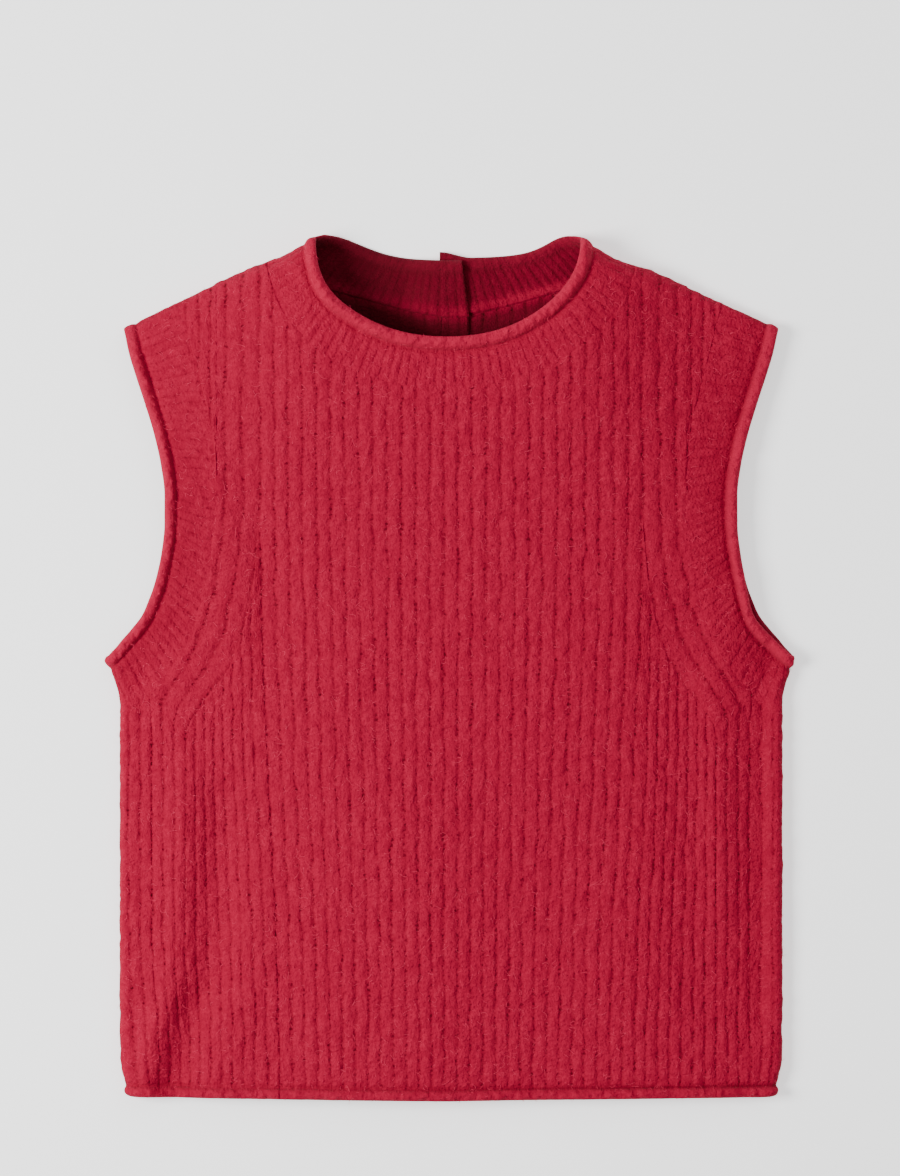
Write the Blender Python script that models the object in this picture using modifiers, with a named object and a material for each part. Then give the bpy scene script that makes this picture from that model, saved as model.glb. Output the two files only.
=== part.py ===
"""Sleeveless ribbed knit vest laid flat on its back, with a buttoned back opening.

Frame: +X across the garment, +Y from the hem to the neck, +Z up from the surface it
lies on. The origin is on that surface, under the middle of the bounding box. The sizes
below are measured from the body's centre line and up from the hem, and moved at the end.
"""

import math

import bmesh
import bpy
import numpy as np

MM = 0.001
CENTRE = (-0.43 * MM, 293.57 * MM)  # middle of the bounding box from the hem's middle

# Cloth and how it lies
WALL = 2.8 * MM  # thickness of the knitted wall
HALF_GAP = 0.15 * MM  # each piece stays this far from a seam line
FOLD_RADIUS = 4.8 * MM  # wall middle to fold centre along sides and shoulders
NECK_FOLD_RADIUS = 14.0 * MM  # the same where the neck stands open
DOME = 2.4 * MM  # rise of the front over its middle
DOME_REACH = 45.0 * MM  # distance from a fold over which the rise comes in
CREASE_REACH = 14.0 * MM  # the same for the soft folds of the front
NECK_RISE = (350.0 * MM, 215.0 * MM)  # height where the front starts to rise, and over what
NECK_RISE_SIDE = (84.0 * MM, 90.0 * MM)  # the same outward from the neck's centre

# Soft folds of the front: both ends, rise of the crest and half its width
CREASES = [
    (-178.0, 235.0, -207.0, 22.0, 2.0, 11.0),
    (-146.0, 225.0, -174.0, 12.0, -2.4, 15.0),
    (176.0, 285.0, 184.0, 130.0, 1.8, 13.0),
    (60.0, 150.0, 40.0, 20.0, 1.4, 38.0),
    (-150.0, 400.0, -128.0, 330.0, -1.2, 16.0),
]

# Outline
CHEST_HALF = 225.4 * MM
HEM_HALF = 216.5 * MM
HEM_CORNER = 20.0 * MM  # height over which the hem corner rounds in
HEM_BOW = (2.4 * MM, 150.0 * MM)  # rise of the hem at its corners, and how high up it fades
FLARE_POWER = 1.5  # how late the side turns out towards the underarm
UNDERARM = (231.8 * MM, 299.0 * MM)
SHOULDER_TIP = (222.6 * MM, 524.4 * MM)
SHOULDER_NECK = (87.0 * MM, 585.8 * MM)
SHOULDER_BOW = (1.3 * MM, 152.0 * MM, 62.0 * MM)  # rise, its middle across and half its width
SHOULDER_BOW_HEIGHT = (420.0 * MM, 120.0 * MM)  # where it starts, and over what height
ARMHOLE_SHARE = 0.7176  # share of the shoulder, from the neck, where the armhole band starts
NECKBAND_SHARE = 0.2714  # share of the shoulder where the neckband ends
SIDE_SEAM_TOP = 263.8 * MM  # where the armhole band meets the side

# Neck: each curve is part of a superellipse about one centre
NECK_CENTRE = (-3.0 * MM, 588.0 * MM)
NECK_EDGE_HALF = 88.0 * MM
NECK_EDGE_DEPTH = 70.0 * MM
NECK_SEAM_HALF = 124.5 * MM
NECK_SEAM_DEPTH = 104.5 * MM
NECK_SEAM_START = math.radians(9.0)  # turn past level at which the seam meets the shoulder
NECK_POWER = 2.15
NECK_PULL = 0.3  # share of a front neck curve over which its end is drawn to the fold
BACK_EDGE_LOW = (571.0 * MM, 573.0 * MM)  # lowest point of each half of the back neck edge
BACK_EDGE_POWER = (1.9, 2.7)
BACK_SEAM_LOW = (533.5 * MM, 533.5 * MM)  # the same of the neckband's back seam
BACK_SEAM_POWER = (1.35, 1.35)

# Back opening
BAND_LEFT_X = -7.8 * MM  # both button bands lie between these two lines
BAND_RIGHT_X = 12.2 * MM
LAP_CLEAR = 0.3 * MM
LAP_LEVEL = 2.0 * MM  # how far past the band a lapped half stays level
BUTTON_RADIUS = 7.5 * MM
BUTTON_THICK = 2.2 * MM
BUTTON_RIM = 0.7 * MM
BUTTON_DISH = 0.6 * MM
BUTTON_DISH_SHARES = (0.62, 0.48)  # where the dish starts and where it is full, of the radius
BUTTON_SIDES = 20
SHANK_RADIUS = 1.3 * MM
BUTTONHOLE = (16.0 * MM, 3.6 * MM)
BUTTONHOLE_DEPTH = 8.0 * MM
BUTTON_ROWS = [30.0, 116.0, 202.0, 288.0, 374.0, 460.0, 546.0]
UNDER_LIFT = BUTTON_THICK + LAP_CLEAR
OVER_LIFT = UNDER_LIFT + WALL + LAP_CLEAR
NECK_END_LIFT = 1.6 * MM  # more for the upper neckband end, over the lower one's roll
NECK_END_RISE = 12.0 * MM  # height over which that comes in
NECK_END_FLIP = 4.0 * MM  # how far the lower end's corner stands out past the edge
NECK_END_REACH = 22.0 * MM  # length of the lower end over which it turns out
NECK_END_FLAT = 0.35  # share of its roll that the pressed lower end keeps
RAMP = 24.0 * MM  # width over which a lapped half rises

# Rolled edges: distance from the edge, height of both faces over the wall's inside
ROLL_COLUMNS = ("s", "outer", "inner")
ROLL = [
    (0.0, 2.2, 1.2),
    (0.8, 4.4, 0.3),
    (2.6, 6.2, 0.0),
    (5.2, 6.0, 0.0),
    (7.2, 3.9, 0.0),
    (8.2, 2.5, 0.0),
    (11.0, 2.8, 0.0),
]
TIP_FLAT = 0.3  # share of the armhole roll's height left where it folds at the shoulder tip
TIP_REACH = 0.1  # share of the armhole over which it flattens
BACK_ROLL_SHARE = 0.55  # the back's rolls lie under the garment, pressed flatter

# Armhole edge: height and half-width of the roll's outside
ARMHOLE_EDGE = [
    (299.0, 230.2),
    (303.0, 229.8),
    (307.5, 227.9),
    (313.0, 223.4),
    (319.6, 217.6),
    (329.8, 209.8),
    (340.0, 205.3),
    (350.2, 201.6),
    (370.6, 196.8),
    (391.0, 194.5),
    (411.4, 194.4),
    (431.8, 196.9),
    (452.0, 201.4),
    (472.6, 207.6),
    (493.0, 214.3),
    (509.0, 219.2),
    (524.6, 222.6),
]
# Armhole seam: height and half-width of the line between the band and the panel
ARMHOLE_SEAM = [
    (263.8, 224.0),
    (265.2, 219.6),
    (268.6, 211.5),
    (278.8, 201.0),
    (295.8, 187.9),
    (312.8, 178.0),
    (333.2, 170.6),
    (353.6, 166.0),
    (380.8, 161.2),
    (401.2, 159.1),
    (421.6, 158.6),
    (442.0, 160.5),
    (462.4, 163.9),
    (482.8, 168.8),
    (510.0, 176.0),
    (542.8, 184.3),
]
ARMHOLE_PULL = 0.2  # share of an armhole curve over which its end is drawn to the fold
# Share of the way up the armhole seam at which each section of the band stands
ARMHOLE_STEPS = [
    0.0, 0.012, 0.035, 0.07, 0.12, 0.18, 0.25, 0.33, 0.42, 0.52,
    0.62, 0.72, 0.81, 0.89, 0.945, 0.975, 0.991, 1.0,
]
# Share of the front neck and of each back half at which each section of the neckband stands
NECK_STEPS = [
    0.0, 0.012, 0.035, 0.07, 0.142, 0.213, 0.285, 0.357, 0.428, 0.5,
    0.572, 0.643, 0.715, 0.787, 0.858, 0.93, 0.965, 0.988, 1.0,
]
BACK_NECK_STEPS = [0.0, 0.035, 0.1, 0.25, 0.4, 0.55, 0.7, 0.85, 1.0]
BAND_MIDDLE = 0.62  # share of a band's width where its sections have one more point
COLUMN_GAP = 0.7 * MM  # least distance between two columns of a panel at the hem
LAST_COLUMN = 4.0 * MM  # least distance of a back half's last column but one from its edge
BUTTON_BAND_ROWS = 13
BUTTON_BAND_COLUMNS = 4
SHOULDER_STEPS = [0.0, 0.012, 0.04, 0.085, 0.3, 0.65]  # from armhole band to neckband
SIDE_HEIGHTS = [20.0, 50.0, 95.0, 145.0, 195.0, 235.0]  # rows up the side, past the hem
PEEK = (4.5 * MM, 325.0 * MM, 22.0 * MM)  # how far, where and over what height the back's
# right armhole roll shows past the front's

COLOUR_BODY = (0.46, 0.022, 0.048, 1.0)
COLOUR_BAND = (0.48, 0.025, 0.052, 1.0)
COLOUR_BUTTON = (0.34, 0.018, 0.036, 1.0)
ROUGH_KNIT = 0.9
ROUGH_BUTTON = 0.35


def clear_scene():
    """Remove every object the scene starts with."""
    for ob in list(bpy.data.objects):
        bpy.data.objects.remove(ob, do_unlink=True)


def smooth(x):
    """Ease from 0 to 1 with level ends."""
    x = min(max(x, 0.0), 1.0)
    return x * x * (3.0 - 2.0 * x)


def slopes(xs, ys):
    """Slopes of a smooth curve through rows that never overshoots them."""
    steps = np.diff(xs)
    rises = np.diff(ys) / steps
    inner = []
    for before, after in zip(rises[:-1], rises[1:]):
        same_way = before * after > 0.0
        inner.append(2.0 * before * after / (before + after) if same_way else 0.0)
    return np.array([rises[0], *inner, rises[-1]])


def through(rows, at):
    """Second column of a table in mm at a first column value in metres, in metres."""
    xs = np.array([row[0] for row in rows]) * MM
    ys = np.array([row[1] for row in rows]) * MM
    at = min(max(at, xs[0]), xs[-1])
    k = min(int(np.searchsorted(xs, at, side="right")) - 1, len(xs) - 2)
    width = xs[k + 1] - xs[k]
    t = (at - xs[k]) / width
    m = slopes(xs, ys) * width
    a = (1.0 + 2.0 * t) * (1.0 - t) ** 2 * ys[k]
    b = t * (1.0 - t) ** 2 * m[k]
    c = t * t * (3.0 - 2.0 * t) * ys[k + 1]
    d = t * t * (t - 1.0) * slopes(xs, ys)[k + 1] * width
    return a + b + c + d


def roll_height(column, s):
    """Height of a roll's face over the wall's inside at a distance from the edge."""
    at = ROLL_COLUMNS.index(column)
    return float(np.interp(s / MM, [row[0] for row in ROLL], [row[at] for row in ROLL])) * MM


def side_half(y):
    """Half-width of the folded side at a height."""
    corner = HEM_HALF + (CHEST_HALF - HEM_HALF) * smooth(y / HEM_CORNER)
    flare = (y - SIDE_SEAM_TOP) / (UNDERARM[1] - SIDE_SEAM_TOP)
    return corner + (UNDERARM[0] - CHEST_HALF) * smooth(flare) ** FLARE_POWER


def shoulder_outward(side):
    """Direction straight out over a shoulder fold."""
    across = SHOULDER_TIP[0] - SHOULDER_NECK[0]
    fall = SHOULDER_NECK[1] - SHOULDER_TIP[1]
    return np.array([side * fall, across]) / math.hypot(across, fall)


def shoulder_point(share, side):
    """Middle of the wall on a shoulder fold, from the neck at 0 to the tip at 1."""
    x = SHOULDER_NECK[0] + (SHOULDER_TIP[0] - SHOULDER_NECK[0]) * share
    y = SHOULDER_NECK[1] + (SHOULDER_TIP[1] - SHOULDER_NECK[1]) * share
    return np.array([side * x, y]) - shoulder_outward(side) * WALL / 2.0


def shoulder_inset(x, y):
    """Distance below the nearer shoulder fold, and that fold's outward direction."""
    side = -1.0 if x < 0.0 else 1.0
    outward = shoulder_outward(side)
    below = float(np.dot(shoulder_point(0.0, side) - np.array([x, y]), outward))
    return below + WALL / 2.0, outward


def side_inset(x, y):
    """Distance inside the nearer side fold, and that fold's outward direction."""
    side = -1.0 if x < 0.0 else 1.0
    if y <= UNDERARM[1]:
        return side_half(y) - abs(x), np.array([side, 0.0])
    away = np.array([abs(x) - UNDERARM[0], y - UNDERARM[1]])
    far = max(math.hypot(*away), 1e-9)
    return far, np.array([-side * away[0], -away[1]]) / far


def fold_radius(x, y):
    """Half the distance between the two walls' middles, larger round the neck."""
    near = smooth((y - NECK_RISE[0]) / NECK_RISE[1])
    inside = 1.0 - smooth((abs(x - NECK_CENTRE[0]) - NECK_RISE_SIDE[0]) / NECK_RISE_SIDE[1])
    return FOLD_RADIUS + (NECK_FOLD_RADIUS - FOLD_RADIUS) * near * inside


def crease_rise(x, y):
    """Height that the front's soft folds add at a point."""
    rise = 0.0
    for x0, y0, x1, y1, crest, half in CREASES:
        start, end = np.array([x0, y0]) * MM, np.array([x1, y1]) * MM
        span, point = end - start, np.array([x, y]) - start
        along = min(max(float(np.dot(point, span) / np.dot(span, span)), 0.0), 1.0)
        away = math.hypot(*(point - span * along)) / (half * MM)
        rise += crest * MM * math.exp(-away * away)
    return rise


def lap_lift(x, y, lap):
    """Rise of a back half towards the opening: lap is over, under or none."""
    if lap == "over":
        rise = smooth((x - BAND_LEFT_X + RAMP + LAP_LEVEL) / RAMP)
        end = NECK_END_LIFT * smooth((y - BACK_SEAM_LOW[0] - LAP_LEVEL) / NECK_END_RISE)
        return (OVER_LIFT + end) * rise
    if lap == "under":
        return UNDER_LIFT * (1.0 - smooth((x - BAND_RIGHT_X - LAP_LEVEL) / RAMP))
    return 0.0


def bowed(x, y):
    """Height of a point once the hem's corners and the shoulders' middles have risen."""
    hem = HEM_BOW[0] * abs(x) / CHEST_HALF * (1.0 - smooth(y / HEM_BOW[1]))
    away = (abs(x) - SHOULDER_BOW[1]) / SHOULDER_BOW[2]
    near = smooth((y - SHOULDER_BOW_HEIGHT[0]) / SHOULDER_BOW_HEIGHT[1])
    return y + hem + SHOULDER_BOW[0] * max(1.0 - away * away, 0.0) * near


def lay(x, y, face, lap="none"):
    """Middle of the wall and its outward direction where the garment covers x, y.

    face is 1 for the front and -1 for the back; both bend round the folds.
    """
    d_side, out_side = side_inset(x, y)
    d_top, out_top = shoulder_inset(x, y)
    d, outward = (d_side, out_side) if d_side < d_top else (d_top, out_top)
    radius = fold_radius(x, y)
    turn = 1.0 - min(max((d - WALL / 2.0) / radius, 0.0), 1.0)
    rise = max(radius * math.sqrt(1.0 - turn * turn), HALF_GAP)
    z = WALL / 2.0 + radius + face * rise
    if face > 0.0:
        z += DOME * smooth(d / DOME_REACH) * (1.0 - (x / CHEST_HALF) ** 2)
        z += crease_rise(x, y) * smooth((d - WALL) / CREASE_REACH)
    else:
        z += lap_lift(x, y, lap)
    normal = np.array([outward[0] * turn, outward[1] * turn, face * math.sqrt(1.0 - turn**2)])
    return np.array([x, bowed(x, y), z]), normal / np.linalg.norm(normal)


def faces_of_wall(x, y, face, s, lap="none", keep=1.0):
    """Outer and inner point of the wall at x, y, with its edge s away.

    keep is the share of the roll's height that is left where it is pressed.
    """
    middle, normal = lay(x, y, face, lap)
    share = BACK_ROLL_SHARE + (1.0 - BACK_ROLL_SHARE) * smooth((normal[2] + 1.0) / 2.0)
    extra = (roll_height("outer", s) - WALL) * share * keep
    middle[2] += max(extra, 0.0) * max(-normal[2], 0.0)
    outer = middle + normal * (WALL / 2.0 + extra)
    return outer, middle - normal * (WALL / 2.0 - roll_height("inner", s))


def add_object(name, verts, faces, material, collection):
    """Add a closed mesh with its faces turned outward."""
    mesh = bpy.data.meshes.new(name)
    at = np.array([CENTRE[0], CENTRE[1], 0.0])
    mesh.from_pydata([tuple(float(c) for c in v - at) for v in verts], [], faces)
    bm = bmesh.new()
    bm.from_mesh(mesh)
    bmesh.ops.recalc_face_normals(bm, faces=bm.faces)
    if bm.calc_volume(signed=True) < 0.0:
        bmesh.ops.reverse_faces(bm, faces=bm.faces)
    bm.to_mesh(mesh)
    bm.free()
    ob = bpy.data.objects.new(name, mesh)
    ob.data.materials.append(material)
    collection.objects.link(ob)
    return ob


def sheet_solid(name, outer, inner, material, collection):
    """Close two grids of points, one for each face of a wall, into a solid."""
    rows, columns = len(outer), len(outer[0])
    verts = [p for row in outer for p in row] + [p for row in inner for p in row]
    half = rows * columns

    def at(r, c, side):
        return side * half + r * columns + c

    faces = []
    for r in range(rows - 1):
        for c in range(columns - 1):
            faces.append((at(r, c, 0), at(r, c + 1, 0), at(r + 1, c + 1, 0), at(r + 1, c, 0)))
            faces.append((at(r, c, 1), at(r + 1, c, 1), at(r + 1, c + 1, 1), at(r, c + 1, 1)))
    rim = [(0, c) for c in range(columns)]
    rim += [(r, columns - 1) for r in range(1, rows)]
    rim += [(rows - 1, c) for c in range(columns - 2, -1, -1)]
    rim += [(r, 0) for r in range(rows - 2, 0, -1)]
    for (ra, ca), (rb, cb) in zip(rim, rim[1:] + rim[:1]):
        faces.append((at(ra, ca, 0), at(ra, ca, 1), at(rb, cb, 1), at(rb, cb, 0)))
    return add_object(name, verts, faces, material, collection)


def loft_solid(name, sections, material, collection, closed):
    """Join closed sections of equal size, in a ring or with flat ends."""
    size = len(sections[0])
    verts = [p for section in sections for p in section]
    count = len(sections)
    faces = []
    for k in range(count if closed else count - 1):
        a, b = k * size, (k + 1) % count * size
        for i in range(size):
            j = (i + 1) % size
            faces.append((a + i, a + j, b + j, b + i))
    if not closed:
        faces.append(tuple(range(size)))
        faces.append(tuple(range((count - 1) * size, count * size)))
    return add_object(name, verts, faces, material, collection)


def armhole_seam(share, side):
    """Point on an armhole seam, from the side at 0 to the shoulder at 1."""
    low, high = ARMHOLE_SEAM[0][0] * MM, ARMHOLE_SEAM[-1][0] * MM
    y = low + (high - low) * share
    point = np.array([side * through(ARMHOLE_SEAM, y), y])
    end = np.array([side * ARMHOLE_SEAM[-1][1] * MM, high])
    pull = shoulder_point(ARMHOLE_SHARE, side) - end
    return point + pull * smooth((share - 1.0 + ARMHOLE_PULL) / ARMHOLE_PULL)


def armhole_edge(share, side, face):
    """Point on an armhole's rolled edge, from the underarm at 0 to the tip at 1."""
    low, high = ARMHOLE_EDGE[0][0] * MM, ARMHOLE_EDGE[-1][0] * MM
    y = low + (high - low) * share
    half = through(ARMHOLE_EDGE, y)
    if side > 0.0 and face > 0.0:
        half -= PEEK[0] * math.exp(-(((y - PEEK[1]) / PEEK[2]) ** 2))
    end = np.array([side * ARMHOLE_EDGE[-1][1] * MM, high])
    pull = shoulder_point(1.0, side) - end
    pulled_in = smooth((share - 1.0 + ARMHOLE_PULL) / ARMHOLE_PULL)
    return np.array([side * half, y]) + pull * pulled_in


def neck_curve(share, half, depth, start):
    """Point on a front neck curve, from the left shoulder at 0 to the right at 1."""
    angle = math.pi + start + (math.pi - 2.0 * start) * share
    c, s = math.cos(angle), math.sin(angle)
    x = NECK_CENTRE[0] + half * math.copysign(abs(c) ** (2.0 / NECK_POWER), c)
    y = NECK_CENTRE[1] + depth * math.copysign(abs(s) ** (2.0 / NECK_POWER), s)
    return np.array([x, y])


def pulled(share, half, depth, start, end_share):
    """Point on a front neck curve, moved a little so that its ends are on the folds."""
    left = shoulder_point(end_share, -1.0) - neck_curve(0.0, half, depth, start)
    right = shoulder_point(end_share, 1.0) - neck_curve(1.0, half, depth, start)
    at_left = 1.0 - smooth(share / NECK_PULL)
    at_right = smooth((share - 1.0 + NECK_PULL) / NECK_PULL)
    return neck_curve(share, half, depth, start) + left * at_left + right * at_right


def neck_edge(share):
    """Rolled edge of the front neck, ending on the shoulder folds."""
    return pulled(share, NECK_EDGE_HALF, NECK_EDGE_DEPTH, 0.0, 0.0)


def neck_seam(share):
    """Seam of the front neckband, ending on the shoulder folds."""
    return pulled(share, NECK_SEAM_HALF, NECK_SEAM_DEPTH, NECK_SEAM_START, NECKBAND_SHARE)


def back_line(x, side, lows, powers, end_share):
    """Point on a back neck line, from its low middle to the shoulder of one side."""
    low, power = (lows[0], powers[0]) if side < 0.0 else (lows[1], powers[1])
    end = shoulder_point(end_share, side)
    share = min(max((x - NECK_CENTRE[0]) / (end[0] - NECK_CENTRE[0]), 0.0), 1.0)
    return np.array([x, low + (end[1] - low) * share**power])


def back_edge(x, side):
    """Point on the rolled back neck edge of one half."""
    return back_line(x, side, BACK_EDGE_LOW, BACK_EDGE_POWER, 0.0)


def back_seam(x, side):
    """Point on the neckband's back seam of one half."""
    return back_line(x, side, BACK_SEAM_LOW, BACK_SEAM_POWER, NECKBAND_SHARE)


def band_section(edge, seam, face, lap="none", keep=1.0):
    """Closed section of a band from its rolled edge to its seam."""
    span = seam - edge
    width = math.hypot(*span)
    stops = [row[0] * MM for row in ROLL]
    stops += [width * BAND_MIDDLE, width - HALF_GAP]
    outer, inner = [], []
    for s in stops:
        point = edge + span * (s / width)
        a, b = faces_of_wall(point[0], point[1], face, s, lap, keep)
        outer.append(a)
        inner.append(b)
    return outer + inner[::-1]


def clear_of(seam, edge):
    """Plan point of a panel beside a band's seam, moved off it by the seam gap."""
    span = seam - edge
    return seam + span / math.hypot(*span) * HALF_GAP


def armhole_band(name, side, material, collection):
    """Ring round one armhole: up the front, over the shoulder and down the back."""
    sections = []
    for face, shares in ((1.0, ARMHOLE_STEPS), (-1.0, ARMHOLE_STEPS[::-1])):
        for share in shares:
            edge, seam = armhole_edge(share, side, face), armhole_seam(share, side)
            keep = 1.0 - (1.0 - TIP_FLAT) * smooth((share - 1.0 + TIP_REACH) / TIP_REACH)
            sections.append(band_section(edge, seam, face, "none", keep))
    return loft_solid(name, sections, material, collection, closed=True)


def back_neck_xs(side):
    """Seam and edge x of the neckband's back sections, from the shoulder to the end."""
    shoulder_edge = shoulder_point(0.0, side)
    shoulder_seam = shoulder_point(NECKBAND_SHARE, side)
    end = BAND_RIGHT_X if side < 0.0 else BAND_LEFT_X
    edges = [shoulder_edge[0] + (end - shoulder_edge[0]) * t for t in BACK_NECK_STEPS]
    seams = [shoulder_seam[0] + (end - shoulder_seam[0]) * t for t in BACK_NECK_STEPS]
    return list(zip(edges, seams))


def neckband(material, collection):
    """C-shaped band: left back end, left shoulder, front, right shoulder, right end."""
    sections = []
    for edge_x, seam_x in back_neck_xs(-1.0)[::-1]:
        edge, seam = back_edge(edge_x, -1.0), back_seam(seam_x, -1.0)
        sections.append(band_section(edge, seam, -1.0, "over"))
    for share in NECK_STEPS:
        sections.append(band_section(neck_edge(share), neck_seam(share), 1.0))
    for edge_x, seam_x in back_neck_xs(1.0):
        edge, seam = back_edge(edge_x, 1.0), back_seam(seam_x, 1.0)
        near = 1.0 - smooth((edge_x - BAND_LEFT_X) / NECK_END_REACH)
        edge[1] += NECK_END_FLIP * near
        keep = 1.0 - (1.0 - NECK_END_FLAT) * near
        sections.append(band_section(edge, seam, -1.0, "under", keep))
    return loft_solid("neckband", sections, material, collection, closed=False)


def side_rows():
    """Heights of the rows from the hem's edge to the top of the side seam."""
    return [row[0] * MM for row in ROLL] + [y * MM for y in SIDE_HEIGHTS]


def panel_side(side, face):
    """Plan points up one edge of a panel: the side, then the armhole seam."""
    points = []
    for y in side_rows():
        points.append(np.array([side * (side_half(y) - WALL / 2.0), y]))
    for share in ARMHOLE_STEPS:
        points.append(clear_of(armhole_seam(share, side), armhole_edge(share, side, face)))
    return points


def shoulder_run(side, face, last):
    """Plan points along a shoulder from the armhole seam to the neckband's last point."""
    start = clear_of(armhole_seam(1.0, side), armhole_edge(1.0, side, face))
    return [start + (last - start) * t for t in SHOULDER_STEPS]


def coons(left, right, bottom, top):
    """Grid of plan points between four edges that meet at their corners."""
    rows, columns = len(left), len(bottom)
    heights = [(p[1] - left[0][1]) / (left[-1][1] - left[0][1]) for p in left]
    across = [(p[0] - bottom[0][0]) / (bottom[-1][0] - bottom[0][0]) for p in bottom]
    grid = []
    for r in range(rows):
        v = heights[r]
        row = []
        for c in range(columns):
            u = across[c]
            ruled = (1.0 - v) * bottom[c] + v * top[c] + (1.0 - u) * left[r] + u * right[r]
            corners = (1.0 - u) * ((1.0 - v) * left[0] + v * left[-1])
            corners = corners + u * ((1.0 - v) * right[0] + v * right[-1])
            row.append(ruled - corners)
        grid.append(row)
    return grid


def panel(name, grid, face, lap, material, collection):
    """Wall over a plan grid whose first row is the rolled hem edge."""
    outer, inner = [], []
    for row in grid:
        pairs = [faces_of_wall(p[0], p[1], face, p[1], lap) for p in row]
        outer.append([a for a, b in pairs])
        inner.append([b for a, b in pairs])
    return sheet_solid(name, outer, inner, material, collection)


def hem_run(left, right, xs):
    """Plan points along the hem under the given top points, evenly shared out."""
    low, high = left[0][0], right[0][0]
    first, last = xs[0], xs[-1]
    return [np.array([low + (high - low) * (x - first) / (last - first), 0.0]) for x in xs]


def front_panel(material, collection):
    """Front: hem, sides, armhole seams, shoulders and neck seam."""
    left, right = panel_side(-1.0, 1.0), panel_side(1.0, 1.0)
    seam = [clear_of(neck_seam(t), neck_edge(t)) for t in NECK_STEPS]
    top = shoulder_run(-1.0, 1.0, seam[0]) + seam + shoulder_run(1.0, 1.0, seam[-1])[::-1]
    grid = coons(left, right, hem_run(left, right, spaced(top)), top)
    return panel("front_panel", grid, 1.0, "none", material, collection)


def spaced(points):
    """Positions across for points that run left to right, kept a little apart."""
    xs = [points[0][0]]
    for p in points[1:]:
        xs.append(max(p[0], xs[-1] + COLUMN_GAP))
    return xs


def back_panel(name, side, lap, material, collection):
    """Half back from its side to the button band."""
    outer_edge = panel_side(side, -1.0)
    end_x = BAND_LEFT_X if side < 0.0 else BAND_RIGHT_X
    top = []
    for edge_x, seam_x in back_neck_xs(side):
        if side * (seam_x - end_x) > LAST_COLUMN:
            top.append(clear_of(back_seam(seam_x, side), back_edge(edge_x, side)))
    end_x += side * HALF_GAP
    top.append(back_seam(end_x, side) - np.array([0.0, HALF_GAP]))
    top = shoulder_run(side, -1.0, top[0]) + top
    inner_edge = [np.array([end_x, top[-1][1] * row_share(p, outer_edge)]) for p in outer_edge]
    xs = [side * x for x in spaced([side * p for p in top[::-1]])][::-1]
    grid = coons(outer_edge, inner_edge, hem_run(outer_edge, inner_edge, xs), top)
    return panel(name, grid, -1.0, lap, material, collection)


def row_share(point, edge):
    """Share of an edge's height at which a point of it stands."""
    return (point[1] - edge[0][1]) / (edge[-1][1] - edge[0][1])


def button_band(name, side, lap, material, collection):
    """Plain strip along a back half's inner edge, from the hem to the neckband."""
    left, right = BAND_LEFT_X + HALF_GAP, BAND_RIGHT_X - HALF_GAP
    outer, inner = [], []
    for up in np.linspace(0.0, 1.0, BUTTON_BAND_ROWS):
        row_outer, row_inner = [], []
        for x in np.linspace(left, right, BUTTON_BAND_COLUMNS):
            top = back_seam(x, side)[1] - HALF_GAP
            middle, _ = lay(x, top * up, -1.0, lap)
            row_outer.append(middle - np.array([0.0, 0.0, WALL / 2.0]))
            row_inner.append(middle + np.array([0.0, 0.0, WALL / 2.0]))
        outer.append(row_outer)
        inner.append(row_inner)
    return sheet_solid(name, outer, inner, material, collection)


def cut_slots(ob, rows, cutters):
    """Cut a crosswise buttonhole through a piece at each height."""
    middle = (BAND_LEFT_X + BAND_RIGHT_X) / 2.0
    for k, y in enumerate(rows):
        at = (middle - CENTRE[0], y * MM - CENTRE[1], OVER_LIFT / 2.0)
        bpy.ops.mesh.primitive_cube_add(size=1.0, location=at)
        cutter = bpy.context.object
        cutter.name = f"cut_{ob.name}_{k + 1}"
        cutter.scale = (BUTTONHOLE[0], BUTTONHOLE[1], BUTTONHOLE_DEPTH)
        cutter.display_type = "WIRE"
        cutter.hide_render = True
        for other in list(cutter.users_collection):
            other.objects.unlink(cutter)
        cutters.objects.link(cutter)
        cut = ob.modifiers.new(f"slot_{k + 1}", "BOOLEAN")
        cut.operation = "DIFFERENCE"
        cut.solver = "EXACT"
        cut.object = cutter


def button(name, y, material, collection):
    """Turned button lying face down, with a thread shank through its buttonhole."""
    shank_top = OVER_LIFT - LAP_CLEAR
    profile = [
        (0.0, shank_top),
        (SHANK_RADIUS, shank_top),
        (SHANK_RADIUS, BUTTON_THICK),
        (BUTTON_RADIUS - BUTTON_RIM, BUTTON_THICK),
        (BUTTON_RADIUS, BUTTON_THICK / 2.0),
        (BUTTON_RADIUS - BUTTON_RIM, 0.0),
        (BUTTON_RADIUS * BUTTON_DISH_SHARES[0], 0.0),
        (BUTTON_RADIUS * BUTTON_DISH_SHARES[1], BUTTON_DISH),
        (0.0, BUTTON_DISH),
    ]
    mesh = bpy.data.meshes.new(name)
    edges = [(k, k + 1) for k in range(len(profile) - 1)]
    mesh.from_pydata([(r, 0.0, z) for r, z in profile], edges, [])
    ob = bpy.data.objects.new(name, mesh)
    ob.data.materials.append(material)
    collection.objects.link(ob)
    screw = ob.modifiers.new("turn", "SCREW")
    screw.axis = "Z"
    screw.steps = BUTTON_SIDES
    screw.render_steps = BUTTON_SIDES
    screw.use_merge_vertices = True
    screw.merge_threshold = 0.01 * MM
    middle = (BAND_LEFT_X + BAND_RIGHT_X) / 2.0
    ob.location = (middle - CENTRE[0], y * MM - CENTRE[1], 0.0)
    return ob


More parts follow.
